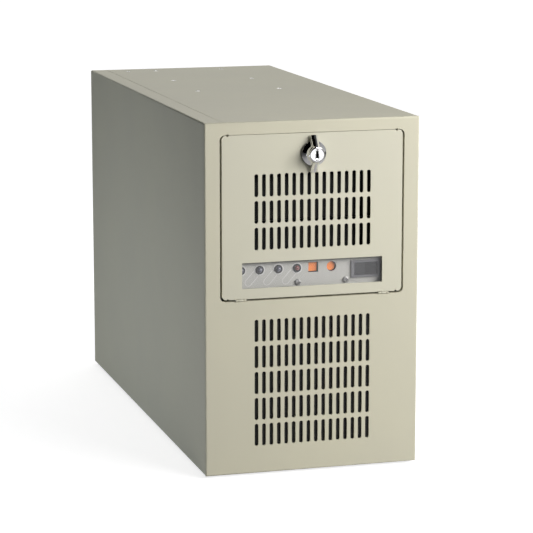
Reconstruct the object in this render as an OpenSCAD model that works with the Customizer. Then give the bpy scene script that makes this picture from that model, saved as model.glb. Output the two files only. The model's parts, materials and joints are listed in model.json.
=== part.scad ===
// Small desktop computer tower: a sheet-steel case with a drop-down lockable door, a control panel
// behind its window, a ventilated front, a slide-off left cover, and the computer inside.
// The front faces -Y, the top is +Z, and the origin is on the floor under the middle of the case.

/* [Case] */
// Width of the case
case_w = 200; // [199:1:204]
// Height of the case without its feet
case_h = 320; // [320:1:326]
// Depth of the case from the front face to the rear panel
case_d = 480; // [476:2:520]
// Thickness of the sheet steel
sheet = 1.2; // [1.0:0.1:1.2]
// Thickness of the front panel
front_t = 1.6; // [1.6:0.1:2.0]
// Outside radius of the sheet's bends
bend_r = 1.5; // [1.3:0.1:1.6]
// Width of the left cover's flanges on the top and bottom
cover_flange = 16.8; // [14:0.2:18]
// Height of the rubber feet
foot_h = 2.5; // [2:0.5:6]
// Radius of the rubber feet
foot_r = 9; // [6:1:12]

/* [Door] */
// Width of the door
door_w = 168.4; // [166:0.2:169]
// Height of the door's lower edge above the bottom of the case
door_z = 161; // [160.5:0.1:161.5]
// Height of the door
door_h = 147.5; // [146.5:0.5:147.5]
// Width of the gap between the door and the case
door_gap = 1.8; // [1.6:0.1:2]
// Radius of the door's corners
door_corner_r = 4; // [2:0.5:6]
// Depth of the rim folded back round the door
door_rim = 7; // [5:0.5:7]
// Width of the door's window
window_w = 131.5; // [120:0.5:134]
// Height of the door's window
window_h = 23.5; // [20:0.5:24]
// Height of the window's centre above the bottom of the case
window_z = 182; // [181:0.5:183]
// Thickness of the window pane
pane_t = 2; // [1.5:0.1:2]

/* [Ventilation] */
// Width of a ventilation slot
slot_w = 3.5; // [2.5:0.1:4]
// Length of a ventilation slot
slot_l = 20.5; // [16:0.5:21]
// Distance between the columns of slots
slot_pitch = 7; // [6.5:0.1:7.2]
// Distance between the rows of slots
row_pitch = 24; // [23:0.5:24]
// Number of columns of slots
slot_columns = 16; // [12:1:16]
// Number of rows of slots in the door
door_rows = 3; // [2:1:3]
// Number of rows of slots in the front panel
panel_rows = 5; // [3:1:5]

/* [Lock] */
// Height of the lock above the bottom of the case
lock_z = 290.2; // [288:0.2:291]
// Radius of the lock's round base
lock_base_r = 11.5; // [10.5:0.1:12]
// Length of the wing knob from tip to tip
knob_l = 33.5; // [28:0.5:34]
// Thickness of the knob's wings
wing_t = 6.4; // [4:0.2:8]
// Height of the knob's face above the door
knob_rise = 12.6; // [11:0.2:13]
// Reach of the cam from the lock's axis
cam_l = 24.5; // [23:0.5:26]

/* [Control panel] */
// Height of the lamps and buttons above the bottom of the case
controls_z = 185.6; // [184:0.2:187]
// Distance between the lamps
lamp_pitch = 17.4; // [16:0.2:18]
// Radius of a lamp
lamp_r = 2.5; // [2:0.1:2.6]
// Size of the square button and diameter of the round one
button_d = 8.4; // [7:0.2:9]
// Travel of the buttons
button_travel = 1.5; // [1:0.1:1.5]
// Width of the power switch
switch_w = 28; // [26:0.5:28]
// Height of the power switch
switch_h = 15.6; // [15:0.2:16]
// Angle between the two positions of the power switch
rocker_swing = 20; // [10:1:20]

/* [Inside] */
// Size of the front fan
front_fan = 120; // [119:1:120]
// Size of the power supply fan and the processor fan
small_fan = 80; // [78:1:80]
// Distance between expansion slots
card_pitch = 20.32; // [20:0.01:20.32]
// Height of the main circuit board
board_h = 304.8; // [304:0.1:304.8]
// Depth of the main circuit board
board_d = 243.8; // [230:0.1:243.8]

/* [Hidden] */
$fn = 48;
front_y = -case_d / 2;
rear_y = case_d / 2;
side_x = case_w / 2;
lap = 0.4;
play = 0.05;
foot_x = 70;
foot_y = 205;
seam_x = -side_x + cover_flange + lap;
step_z = 2 * sheet + lap;
sunk_head = 0.6;
screw_r = 1.5;
screw_head_r = 2.8;

door_x = door_w / 2;
door_top = door_z + door_h;
door_t = 1.2;
opening_x = door_x + door_gap;
opening_z0 = door_z - door_gap;
opening_z1 = door_top + 0.4;
opening_r = door_corner_r + 1;
opening_depth = 26;
hinge_y = front_y;
hinge_z = door_z - door_gap / 2;
hinge_r = 1;
hinge_pin_r = 0.5;
hinge_x = 67;
hinge_half = 5;
hinge_notch = 0.3;
leaf_t = 0.6;
leaf_inner = 2.4;
strike_x = 14;
relief_x = door_x - 5.4;
relief_r = 1.1;
lock_bore_r = 6;
cam_y = front_y + 19;
cam_t = 2;
top_row_z = 263;
panel_row_z = 131.5;
pane_y = front_y + door_t;

panel_y = front_y + 7.2;
panel_x = 80;
panel_z0 = 164.5;
panel_z1 = 198.5;
board_y = front_y + 21;
lamp_x = -12.7;
square_x = 2.8;
round_x = 19.9;
screw_x = [-11.9, 33.2];
screw_z = 172.7;
switch_x = 52.2;
switch_z = 182.1;
rocker_y = panel_y + 4;
rocker_l = 10;
rocker_h = 11.4;
switch_in_x = 12;
switch_in_z = 6.9;
rocker_pin_r = 1.2;
cap_y = panel_y + 2.6;
cap_depth = 4.4;
stem_half = 1.7;
stem_l = 3.9;

bay_y = front_y + 26;
bay_x = 74;
bay_depth = 170;
cage_z = 200;
small_bay_h = 25.6;
big_bay_h = 41.4;
bay_gap = 0.3;

fan_z = 83.5;
filter_y = front_y + front_t;
filter_t = 8;
fan_y = filter_y + filter_t + 0.2;
fan_depth = 25;
fan_shaft_r = 1.5;
rotor_blades = 7;
front_bore = front_fan * 0.475;
small_bore = small_fan * 0.475;

mb_x = side_x - sheet - 6.5;
mb_t = 1.6;
mb_z = 9;
mb_y = rear_y - sheet - 2.8;
mb_face = mb_x - mb_t;
card_slots = 7;
first_card_z = 20;
ledge_x = -27;
tab_depth = 12;
bracket_t = 0.9;
io_x = [mb_face - 44.2, mb_face + 0.25];
io_z = [156.3, 315.05];
cpu_y = 150;
cpu_z = 235;
cpu_base = 4;
sink_h = 36;
cpu_fan_depth = 20;

psu_x = [-82, 4];
psu_y = [rear_y - sheet - 140, rear_y - sheet];
psu_z = [160, 310];
psu_t = 1;
psu_fan_z = 260;
psu_mid_x = (psu_x[0] + psu_x[1]) / 2;
inlet_z = 196;
supply_switch_z = 173;
supply_rocker_y = psu_y[1] - 1.5;
supply_rocker_l = 7;

thumb_x = -side_x + 8;
thumb_z = [87, 233];
thumb_r = 1.75;
thumb_head_r = 6;

case_color = [0.80, 0.78, 0.70];
door_color = [0.82, 0.80, 0.72];
steel_color = [0.72, 0.73, 0.74];
dark_color = [0.12, 0.12, 0.13];

// Each of a port's numbers in turn: the height of its centre, its height, and its rise from the board
ports = [
    [298, 15, 29], [280, 15, 17], [261, 17, 30], [226, 40, 13], [186, 31, 13], [165, 13, 35]
];

// Lifts the case onto its feet
module on_feet() {
    translate([0, 0, foot_h]) children();
}

// A block from the low to the high value along each axis
module box(x, y, z) {
    translate([x[0], y[0], z[0]]) cube([x[1] - x[0], y[1] - y[0], z[1] - z[0]]);
}

module rect(a, b) {
    translate([a[0], b[0]]) square([a[1] - a[0], b[1] - b[0]]);
}

module round_rect(a, b, r) {
    rect([a[0] + r, a[1] - r], b);
    rect(a, [b[0] + r, b[1] - r]);
    for (u = [a[0] + r, a[1] - r])
        for (v = [b[0] + r, b[1] - r])
            translate([u, v]) circle(r);
}

// Extrude a drawing of Y and Z along X, or one of X and Z along Y
module along_x(x) {
    translate([x[0], 0, 0]) rotate([90, 0, 90]) linear_extrude(x[1] - x[0]) children();
}

module along_y(y) {
    translate([0, y[1], 0]) rotate([90, 0, 0]) linear_extrude(y[1] - y[0]) children();
}

module along_z(z) {
    translate([0, 0, z[0]]) linear_extrude(z[1] - z[0]) children();
}

module rod_x(x, y, z, r) {
    translate([x[0], y, z]) rotate([0, 90, 0]) cylinder(h = x[1] - x[0], r = r);
}

module rod_y(x, y, z, r) {
    translate([x, y[0], z]) rotate([-90, 0, 0]) cylinder(h = y[1] - y[0], r = r);
}

module rod_z(x, y, z, r) {
    translate([x, y, z[0]]) cylinder(h = z[1] - z[0], r = r);
}

// Rows and columns of upright slots with round ends, centred on x = mid
module slots(columns, rows, top_z, mid = 0) {
    for (c = [0 : columns - 1])
        for (k = [0 : rows - 1])
            translate([mid + (c - (columns - 1) / 2) * slot_pitch, top_z - k * row_pitch]) {
                square([slot_w, slot_l - slot_w], center = true);
                for (s = [-1, 1]) translate([0, s * (slot_l - slot_w) / 2]) circle(slot_w / 2);
            }
}

// ---- Case ----

module shell_profile() {
    difference() {
        round_rect([seam_x - 20, side_x], [0, case_h], bend_r);
        round_rect([seam_x - 30, side_x - sheet], [sheet, case_h - sheet], bend_r - sheet + 0.1);
        rect([seam_x - 40, seam_x], [-1, case_h + 1]);
    }
    for (top = [0, 1]) translate([0, top * case_h]) mirror([0, top]) {
        rect([seam_x, seam_x + sheet], [0, step_z]);
        rect([-side_x + 2.4, seam_x + sheet], [step_z - sheet, step_z]);
    }
}

module case_shell() {
    color(case_color) on_feet() difference() {
        along_y([front_y + front_t, rear_y]) shell_profile();
        for (p = roof_points()) {
            rod_z(p[0], p[1], [case_h - 2, case_h + 1], screw_r + 0.1);
            rod_z(p[0], p[1], [case_h - sunk_head, case_h + 1], screw_head_r + play);
        }
        for (x = [-foot_x, foot_x]) for (y = [-foot_y, foot_y]) rod_z(x, y, [-1, sheet + 1], 2);
    }
}

function roof_points() = [
    [-64.5, 217], [-34.5, 217], [38, 217], [-40, 115], [43.5, 115], [-40, 14], [43.5, 14]
];

module roof_screws() {
    color(steel_color) on_feet() for (p = roof_points()) {
        rod_z(p[0], p[1], [case_h - 5, case_h - sunk_head], screw_r);
        rod_z(p[0], p[1], [case_h - sunk_head, case_h], screw_head_r);
    }
}

module roof_stiffener() {
    z = [case_h - 2 * sheet, case_h - sheet];
    color(steel_color) on_feet() difference() {
        union() {
            box([-52, 56], [4, 125], z);
            for (y = [[4, 4 + sheet], [125 - sheet, 125]]) box([-52, 56], y, [z[0] - 5, z[1]]);
        }
        for (p = roof_points()) rod_z(p[0], p[1], [z[0] - 1, z[1] + 1], 1.6);
        for (x = [-20, 24]) box([x - 12, x + 12], [30, 99], [z[0] - 1, z[1] + 1]);
    }
}

module feet() {
    color(dark_color) for (x = [-foot_x, foot_x]) for (y = [-foot_y, foot_y]) {
        difference() {
            rod_z(x, y, [0, foot_h], foot_r);
            rod_z(x, y, [-1, 1.2], 3.6);
        }
        rod_z(x, y, [foot_h, foot_h + sheet + 1.5], 1.9);
    }
}

module opening_outline(grow) {
    round_rect([-opening_x - grow, opening_x + grow], [opening_z0 - grow, opening_z1 + grow],
        opening_r + grow);
}

// The front face, with all four of its outer edges bent round
module front_face() {
    intersection() {
        along_z([0, case_h]) intersection() {
            round_rect([-side_x, side_x], [front_y, front_y + 20], bend_r);
            rect([-side_x, side_x], [front_y, front_y + front_t]);
        }
        along_x([-side_x, side_x]) round_rect([front_y, front_y + 20], [0, case_h], bend_r);
    }
}

module front_panel() {
    back = front_y + front_t;
    inset = 3;
    color(case_color) on_feet() difference() {
        union() {
            front_face();
            along_y([back, back + 12]) difference() {
                rect([-side_x + 1.6, side_x - 1.6], [inset, case_h - inset]);
                rect([-side_x + 1.6 + sheet, side_x - 1.6 - sheet],
                    [inset + sheet, case_h - inset - sheet]);
            }
            along_y([back, back + 4]) opening_outline(sheet);
            for (s = [-1, 1])
                box([min(s * opening_x, s * (opening_x + sheet)),
                    max(s * opening_x, s * (opening_x + sheet))],
                    [back, front_y + opening_depth], [opening_z0 + 6, opening_z1 - 6]);
            box([-opening_x + 6, opening_x - 6], [back, front_y + 14],
                [opening_z0 - sheet, opening_z0]);
            box([-strike_x, strike_x], [back, cam_y - 0.4], [opening_z1, opening_z1 + sheet]);
        }
        along_y([front_y - 1, back + 5]) opening_outline(0);
        along_y([front_y - 1, back + 1]) slots(slot_columns, panel_rows, panel_row_z);
        for (s = [-1, 1]) hinge_cut(s, [hinge_z - hinge_r - hinge_notch, opening_z0 + 0.1]);
        corner_reliefs(back + 5);
    }
}

// Small round reliefs where the folds of the door's rim end, centred on the gap round it
module corner_reliefs(back) {
    for (s = [-1, 1]) for (z = [door_z, door_top])
        rod_y(s * relief_x, [front_y - 1, back], z, relief_r);
}

// Room for a hinge's barrel in the edge of a plate
module hinge_cut(s, z) {
    box([s * hinge_x - hinge_half - 0.3, s * hinge_x + hinge_half + 0.3],
        [front_y - 1, front_y + hinge_r + hinge_notch], z);
}

module rear_panel() {
    inner = rear_y - sheet;
    color(steel_color) on_feet() difference() {
        union() {
            along_y([inner, rear_y]) round_rect([seam_x + sheet, side_x - sheet],
                [sheet, case_h - sheet], bend_r - sheet + 0.15);
            box([-side_x + 1.6, seam_x + 2], [inner, rear_y], [step_z + 0.1, case_h - step_z - 0.1]);
            box([seam_x + 5, side_x - 5], [inner - 26, inner],
                [case_h - 2 * sheet, case_h - sheet]);
            box([ledge_x, ledge_x + sheet], [inner, rear_y + tab_depth], [8, 154]);
        }
        box(io_x, [inner - 1, rear_y + 1], io_z);
        for (i = [0 : card_slots - 1]) {
            z = card_z(i);
            box([ledge_x + 5, mb_face - 3], [inner - 1, rear_y + 1], [z - 7, z + 7]);
            box([ledge_x - 1.4, ledge_x], [inner - 1, rear_y + 1], [z - 9.6, z + 9.6]);
            rod_x([ledge_x - 1, ledge_x + 3], tab_screw_y(), z, 1.7);
        }
        box([psu_x[0] + 12, psu_x[1] - 12], [inner - 1, rear_y + 1], [psu_z[0] + 4, psu_z[1] - 4]);
        box([psu_x[0] + 3, psu_x[1] - 3], [inner - 1, rear_y + 1], [psu_z[0] + 14, psu_z[1] - 14]);
        for (p = psu_points()) rod_y(p[0], [inner - 1, rear_y + 1], p[1], 1.7);
        for (z = thumb_z) rod_y(thumb_x, [inner - 1, rear_y + 1], z, thumb_r + play);
        for (p = roof_points()) rod_z(p[0], p[1], [case_h - 4, case_h], 1.6);
        along_y([inner - 1, rear_y + 1]) slots(6, 5, 128, -56);
    }
}

function card_z(i) = first_card_z + i * card_pitch;
function tab_screw_y() = rear_y + 7;
function psu_points() = [
    for (x = [psu_x[0] + 6, psu_x[1] - 6]) for (z = [psu_z[0] + 7, psu_z[1] - 7]) [x, z]
];

module rear_screws() {
    color(steel_color) on_feet() {
        for (i = [0 : card_slots - 1]) {
            rod_x([ledge_x - bracket_t, ledge_x + 4], tab_screw_y(), card_z(i), 1.6);
            rod_x([ledge_x - bracket_t - 2.2, ledge_x - bracket_t], tab_screw_y(), card_z(i), 3.2);
        }
        for (p = psu_points()) {
            rod_y(p[0], [rear_y - 5, rear_y], p[1], 1.6);
            rod_y(p[0], [rear_y, rear_y + 2.2], p[1], 3.2);
        }
    }
}

module slot_cover(i) {
    y = [rear_y - sheet - bracket_t, rear_y - sheet];
    z = card_z(i);
    color(steel_color) on_feet() difference() {
        union() {
            box([ledge_x - bracket_t, mb_face + 3.5], y, [z - 9.2, z + 9.2]);
            box([ledge_x - bracket_t, ledge_x], [y[0], rear_y + tab_depth - 1], [z - 9.2, z + 9.2]);
            for (x = [0, 40]) rod_y(x + 10, [y[1], y[1] + 1], z, 3);
        }
        rod_x([ledge_x - 2, ledge_x + 1], tab_screw_y(), z, 1.7);
    }
}

module slot_cover_1() { slot_cover(0); }
module slot_cover_2() { slot_cover(1); }
module slot_cover_3() { slot_cover(2); }
module slot_cover_4() { slot_cover(3); }
module slot_cover_5() { slot_cover(4); }
module slot_cover_6() { slot_cover(5); }
module slot_cover_7() { slot_cover(6); }

module left_cover() {
    y = [front_y + front_t + 0.3, rear_y + 0.2 + sheet];
    edge = -side_x + cover_flange;
    color(case_color) on_feet() difference() {
        union() {
            along_y(y) difference() {
                round_rect([-side_x, edge + 20], [0, case_h], bend_r);
                round_rect([-side_x + sheet, edge + 30], [sheet, case_h - sheet], 0.4);
                rect([edge, edge + 40], [-1, case_h + 1]);
            }
            box([-side_x + 0.6, -side_x + 16], [y[1] - sheet, y[1]], [step_z + 1, case_h - step_z - 1]);
        }
        for (z = thumb_z) rod_y(thumb_x, [y[0], y[1] + 1], z, thumb_r + play);
        for (top = [0, 1])
            box([-side_x + 4, edge + 1], [rear_y + 0.01, y[1] + 1],
                top ? [case_h - sheet - 1, case_h + 1] : [-1, sheet + 1]);
    }
}

module thumbscrew(z) {
    y0 = rear_y + 0.4 + sheet;
    color(steel_color) on_feet() {
        rod_y(thumb_x, [y0, y0 + 1.2], z, 4);
        rod_y(thumb_x, [y0 + 1.2, y0 + 9.4], z, thumb_head_r);
        rod_y(thumb_x, [rear_y - 6, y0], z, thumb_r);
    }
}

module thumbscrew_upper() { thumbscrew(thumb_z[1]); }
module thumbscrew_lower() { thumbscrew(thumb_z[0]); }

// ---- Door, hinges and lock ----

module door_outline(grow = 0) {
    round_rect([-door_x - grow, door_x + grow], [door_z - grow, door_top + grow],
        door_corner_r + grow);
}

module door_panel() {
    color(door_color) on_feet() difference() {
        along_y([front_y, front_y + door_rim]) door_outline();
        along_y([front_y + door_t, front_y + door_rim + 1]) door_outline(-door_t);
        along_y([front_y - 1, front_y + 2]) {
            slots(slot_columns, door_rows, top_row_z);
            rect([-window_w / 2, window_w / 2], [window_z - window_h / 2, window_z + window_h / 2]);
        }
        rod_y(0, [front_y - 1, front_y + 3], lock_z, 9.4);
        for (s = [-1, 1]) hinge_cut(s, [door_z - 0.1, hinge_z + hinge_r + hinge_notch]);
        corner_reliefs(front_y + door_rim + 1);
    }
}

module door_window() {
    margin = 2.6;
    color([0.8, 0.85, 0.85, 0.35]) on_feet() difference() {
        box([-window_w / 2 - margin, window_w / 2 + margin], [pane_y, pane_y + pane_t],
            [window_z - window_h / 2 - margin, window_z + window_h / 2 + margin]);
        for (s = [-1, 1]) rod_y(s * (window_w / 2 + 1.1), [pane_y - 1, pane_y + 3], window_z, 0.6);
    }
}

// Knuckles along X round the hinge axis, given as ranges measured from the hinge's middle
module knuckles(s, ranges, bore) {
    for (k = ranges) difference() {
        rod_x([s * hinge_x + k[0], s * hinge_x + k[1]], hinge_y, hinge_z, hinge_r);
        rod_x([s * hinge_x + k[0] - 1, s * hinge_x + k[1] + 1], hinge_y, hinge_z, bore);
    }
}

// A hinge's flat leaf, reaching back from its axis
module leaf(s, reach, z, bore) {
    x = s * hinge_x;
    difference() {
        box([x - hinge_half, x + hinge_half], [hinge_y + 0.2, hinge_y + reach], z);
        rod_x([x - hinge_half - 1, x + hinge_half + 1], hinge_y, hinge_z, bore);
    }
}

module hinge_frame_leaves() {
    z = [opening_z0, opening_z0 + leaf_t];
    color(case_color) on_feet() for (s = [-1, 1]) {
        knuckles(s, [[-hinge_half, -leaf_inner - 0.1], [leaf_inner + 0.1, hinge_half]],
            hinge_pin_r);
        difference() {
            leaf(s, 13, z, hinge_pin_r);
            box([s * hinge_x - leaf_inner - 0.1, s * hinge_x + leaf_inner + 0.1],
                [hinge_y, hinge_y + hinge_r + 0.2], [z[0] - 1, z[1] + 1]);
        }
    }
}

module hinge_door_leaves() {
    z = [door_z - leaf_t, door_z];
    color(door_color) on_feet() for (s = [-1, 1]) {
        knuckles(s, [[-leaf_inner, leaf_inner]], hinge_pin_r + play);
        difference() {
            leaf(s, door_rim - 0.5, z, hinge_pin_r + play);
            for (k = [[-hinge_half - 1, -leaf_inner], [leaf_inner, hinge_half + 1]])
                box([s * hinge_x + k[0], s * hinge_x + k[1]],
                    [hinge_y, hinge_y + hinge_r + 0.2], [z[0] - 1, z[1] + 1]);
        }
    }
}

module hinge_pins() {
    color(steel_color) on_feet() for (s = [-1, 1])
        rod_x([s * hinge_x - hinge_half - 0.2, s * hinge_x + hinge_half + 0.2], hinge_y,
            hinge_z, hinge_pin_r);
}

module lock_body() {
    color([0.8, 0.8, 0.82]) on_feet() difference() {
        union() {
            rod_y(0, [front_y - 2.4, front_y], lock_z, lock_base_r);
            rod_y(0, [front_y, cam_y - 2.4], lock_z, 9.3);
            along_y([front_y + door_t, front_y + door_t + 3.5])
                translate([0, lock_z]) circle(13, $fn = 6);
        }
        rod_y(0, [front_y - 3, cam_y], lock_z, lock_bore_r + play);
        rod_y(0, [front_y - 3, front_y - 1.4], lock_z, 8);
    }
}

// A tapered round knob with two wings, which slope back from its face to their tips
module lock_knob() {
    back = front_y - 2.6;
    face = front_y - knob_rise;
    wing_foot = 3.6;
    tip = knob_l / 2;
    color([0.85, 0.85, 0.87]) on_feet() difference() {
        union() {
            translate([0, back, lock_z]) rotate([90, 0, 0])
                cylinder(h = knob_rise - 2.6, r1 = lock_base_r - 0.8, r2 = 7);
            along_x([-wing_t / 2, wing_t / 2]) polygon([
                [back, lock_z - tip], [back - wing_foot, lock_z - tip], [face, lock_z - 6],
                [face, lock_z + 6], [back - wing_foot, lock_z + tip], [back, lock_z + tip]
            ]);
            rod_y(0, [back, back + 1], lock_z, 7.6);
            rod_y(0, [back + 1, cam_y], lock_z, lock_bore_r);
            rod_y(0, [cam_y, cam_y + cam_t + 2], lock_z, 3);
        }
        box([-1.1, 1.1], [face - 1, face + 7], [lock_z - 3.6, lock_z + 3.2]);
    }
}

module lock_cam() {
    color(steel_color) on_feet() difference() {
        along_y([cam_y, cam_y + cam_t]) translate([0, lock_z]) {
            circle(8);
            rect([0, cam_l], [-6, 6]);
        }
        rod_y(0, [cam_y - 1, cam_y + cam_t + 1], lock_z, 3 + play);
    }
}

// ---- Control panel ----

function lamp_at(i) = lamp_x - i * lamp_pitch;

module control_panel() {
    color([0.72, 0.72, 0.70]) on_feet() difference() {
        union() {
            box([-panel_x, panel_x], [panel_y, panel_y + sheet], [panel_z0, panel_z1]);
            for (z = [[panel_z0, panel_z0 + sheet], [panel_z1 - sheet, panel_z1]])
                box([-panel_x, panel_x], [panel_y, bay_y - 2.4], z);
            for (s = [0, 1]) mirror([s, 0, 0]) {
                box([panel_x - sheet, panel_x], [panel_y, bay_y - 0.4], [panel_z0, panel_z1]);
                box([panel_x, opening_x], [bay_y - 0.4 - sheet, bay_y - 0.4],
                    [panel_z0 + 4, panel_z1 - 4]);
            }
        }
        for (i = [0 : 3]) rod_y(lamp_at(i), [panel_y - 1, panel_y + 3], controls_z, 3.1);
        box([square_x - button_d / 2 - 0.4, square_x + button_d / 2 + 0.4],
            [panel_y - 1, panel_y + 3],
            [controls_z - button_d / 2 - 0.4, controls_z + button_d / 2 + 0.4]);
        rod_y(round_x, [panel_y - 1, panel_y + 3], controls_z, button_d / 2 + 0.3);
        for (x = screw_x) rod_y(x, [panel_y - 1, panel_y + 3], screw_z, 1.6);
        box([switch_x - switch_in_x - 0.1, switch_x + switch_in_x + 0.1],
            [panel_y - 1, panel_y + 3],
            [switch_z - switch_in_z - 0.1, switch_z + switch_in_z + 0.1]);
    }
}

module control_board() {
    color([0.15, 0.35, 0.2]) on_feet() difference() {
        box([-74, 36], [board_y, board_y + 1.6], [167.5, 196]);
        for (x = screw_x) rod_y(x, [board_y - 1, board_y + 3], screw_z, 1.6);
    }
}

module lamp_bezels() {
    color(dark_color) on_feet() for (i = [0 : 3]) difference() {
        union() {
            rod_y(lamp_at(i), [panel_y - 0.8, panel_y], controls_z, 3.9);
            rod_y(lamp_at(i), [panel_y, panel_y + 4], controls_z, 3.05);
        }
        rod_y(lamp_at(i), [panel_y - 2, panel_y + 5], controls_z, lamp_r + 0.02);
    }
}

module lamp(i) {
    rod_y(lamp_at(i), [panel_y - 0.4, panel_y + 6], controls_z, lamp_r);
    translate([lamp_at(i), panel_y - 0.4, controls_z]) intersection() {
        sphere(lamp_r);
        box([-3, 3], [-3, 0], [-3, 3]);
    }
    for (s = [-1.27, 1.27]) rod_y(lamp_at(i) + s, [panel_y + 6, board_y], controls_z, 0.3);
}

module status_lamps() {
    color([0.5, 0.55, 0.6]) on_feet() for (i = [1 : 3]) lamp(i);
}

module alarm_lamp() {
    color([0.6, 0.35, 0.35]) on_feet() lamp(0);
}

module button_stem(x) {
    box([x - stem_half, x + stem_half], [cap_y + cap_depth, cap_y + cap_depth + stem_l],
        [controls_z - stem_half, controls_z + stem_half]);
}

module alarm_button() {
    color([0.93, 0.42, 0.12]) on_feet() {
        box([square_x - button_d / 2, square_x + button_d / 2], [cap_y, cap_y + cap_depth],
            [controls_z - button_d / 2, controls_z + button_d / 2]);
        button_stem(square_x);
    }
}

module reset_button() {
    color([0.93, 0.42, 0.12]) on_feet() {
        rod_y(round_x, [cap_y, cap_y + cap_depth], controls_z, button_d / 2);
        button_stem(round_x);
    }
}

module button_switches() {
    front = cap_y + cap_depth + button_travel + 0.3;
    color(dark_color) on_feet() for (x = [square_x, round_x]) difference() {
        box([x - 6, x + 6], [front, board_y], [controls_z - 6, controls_z + 6]);
        box([x - stem_half - 0.25, x + stem_half + 0.25], [front - 1, board_y - 0.6],
            [controls_z - stem_half - 0.25, controls_z + stem_half + 0.25]);
    }
}

module power_switch_body() {
    color([0.42, 0.42, 0.44]) on_feet() {
        difference() {
            union() {
                box([switch_x - switch_w / 2, switch_x + switch_w / 2],
                    [panel_y - 1.8, panel_y],
                    [switch_z - switch_h / 2, switch_z + switch_h / 2]);
                box([switch_x - switch_in_x, switch_x + switch_in_x], [panel_y, panel_y + 17],
                    [switch_z - switch_in_z, switch_z + switch_in_z]);
            }
            box([switch_x - switch_in_x + 0.9, switch_x + switch_in_x - 0.9],
                [panel_y - 3, panel_y + 9.5],
                [switch_z - switch_in_z + 1, switch_z + switch_in_z - 1]);
        }
        rod_z(switch_x, rocker_y, [switch_z - rocker_h / 2 - 0.3, switch_z + rocker_h / 2 + 0.3],
            rocker_pin_r);
        // Its three terminals
        for (x = [-7, 0, 7])
            box([switch_x + x - 0.4, switch_x + x + 0.4], [panel_y + 17, panel_y + 24],
                [switch_z - 2.4, switch_z + 2.4]);
    }
}

// A rocker seen along its pivot, in its middle position
module rocker_outline(l) {
    polygon([[-l, -5.6], [0, -4.2], [l, -5.6], [l, -3.2], [4, 3], [-4, 3], [-l, -3.2]]);
}

module power_rocker() {
    color(dark_color) on_feet()
        translate([switch_x, rocker_y, switch_z - rocker_h / 2])
            rotate([0, 0, -rocker_swing / 2]) difference() {
                linear_extrude(rocker_h) rocker_outline(rocker_l);
                translate([0, 0, -1]) cylinder(h = rocker_h + 2, r = rocker_pin_r + play);
            }
}

// ---- Drive bays ----

module drive_cage() {
    y = [bay_y, bay_y + bay_depth];
    top = case_h - sheet;
    color(steel_color) on_feet() difference() {
        union() {
            box([-bay_x - sheet, bay_x + sheet], y, [cage_z - sheet, cage_z]);
            for (s = [0, 1]) mirror([s, 0, 0]) {
                box([bay_x, bay_x + sheet], y, [cage_z - sheet, top]);
                box([bay_x - 12, bay_x], y, [top - sheet, top]);
                box([52.2, 52.2 + sheet], [y[0] + 8, y[1]], [cage_z, cage_z + small_bay_h]);
                box([52.2, bay_x], [y[0] + 8, y[1]],
                    [cage_z + small_bay_h, cage_z + small_bay_h + sheet]);
                box([bay_x - 5, bay_x], [y[0] + 8, y[1]],
                    [bay_floor(1) + big_bay_h - 0.4, bay_floor(1) + big_bay_h + 0.6]);
            }
        }
        for (z = [bay_floor(1) + 10, bay_floor(2) + 10])
            for (k = [0 : 3])
                box([-bay_x - 3, bay_x + 3], [y[0] + 20 + k * 36, y[0] + 32 + k * 36], [z, z + 3.4]);
        for (k = [0 : 3]) box([-40, 40], [y[0] + 24 + k * 36, y[0] + 44 + k * 36],
            [cage_z - 3, cage_z + 1]);
    }
}

// Lower edge of each bay: the small one, then the two large ones
function bay_floor(n) = n == 0 ? cage_z
    : cage_z + small_bay_h + sheet + bay_gap + (n - 1) * (big_bay_h + 0.2);

module bay_cover(z, h) {
    color(door_color) on_feet() {
        difference() {
            box([-bay_x + 0.4, bay_x - 0.4], [bay_y - 1.4, bay_y + 7], [z, z + h]);
            box([-bay_x + 2.4, bay_x - 2.4], [bay_y + 1, bay_y + 8], [z + 2, z + h - 2]);
        }
        for (s = [0, 1]) mirror([s, 0, 0])
            box([bay_x - 9, bay_x - 7], [bay_y + 1, bay_y + 6.6], [z + h / 2 - 4, z + h / 2 + 4]);
    }
}

module bay_cover_small() { bay_cover(bay_floor(0) + 0.2, small_bay_h - 0.4); }
module bay_cover_middle() { bay_cover(bay_floor(1), big_bay_h - 0.8); }
module bay_cover_top() { bay_cover(bay_floor(2) + 0.6, big_bay_h - 0.8); }

// A 3.5 inch drive, with a recess for its connectors
module hard_disk() {
    y = [bay_y + 12, bay_y + 158];
    color([0.6, 0.61, 0.63]) on_feet() difference() {
        union() {
            box([-50.8, 50.8], y, [cage_z + 0.4, cage_z + 20]);
            box([-47, 47], [y[0] + 4, y[1] - 8], [cage_z + 20, cage_z + 23.5]);
        }
        box([-40, 40], [y[1] - 9, y[1] + 1], [cage_z + 3, cage_z + 12]);
    }
}

// ---- Fans ----

// A square fan frame that blows along +Y, with its stub shaft held by four struts
module fan_frame(size, depth, bore, hub) {
    hole = size / 2 - size * 0.0625;
    flange = depth * 0.16;
    along_y([0, depth]) difference() {
        circle(bore + 1.6);
        circle(bore);
    }
    for (y = [[0, flange], [depth - flange, depth]]) along_y(y) difference() {
        round_rect([-size / 2, size / 2], [-size / 2, size / 2], size * 0.05);
        circle(bore);
        for (u = [-hole, hole]) for (v = [-hole, hole]) translate([u, v]) circle(2.1);
    }
    along_y([depth - 3, depth]) {
        circle(hub);
        for (a = [45 : 90 : 315]) rotate(a) rect([hub - 1, bore + 1], [-1.6, 1.6]);
    }
    rod_y(0, [depth * 0.3, depth - 2.9], 0, fan_shaft_r);
}

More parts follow.
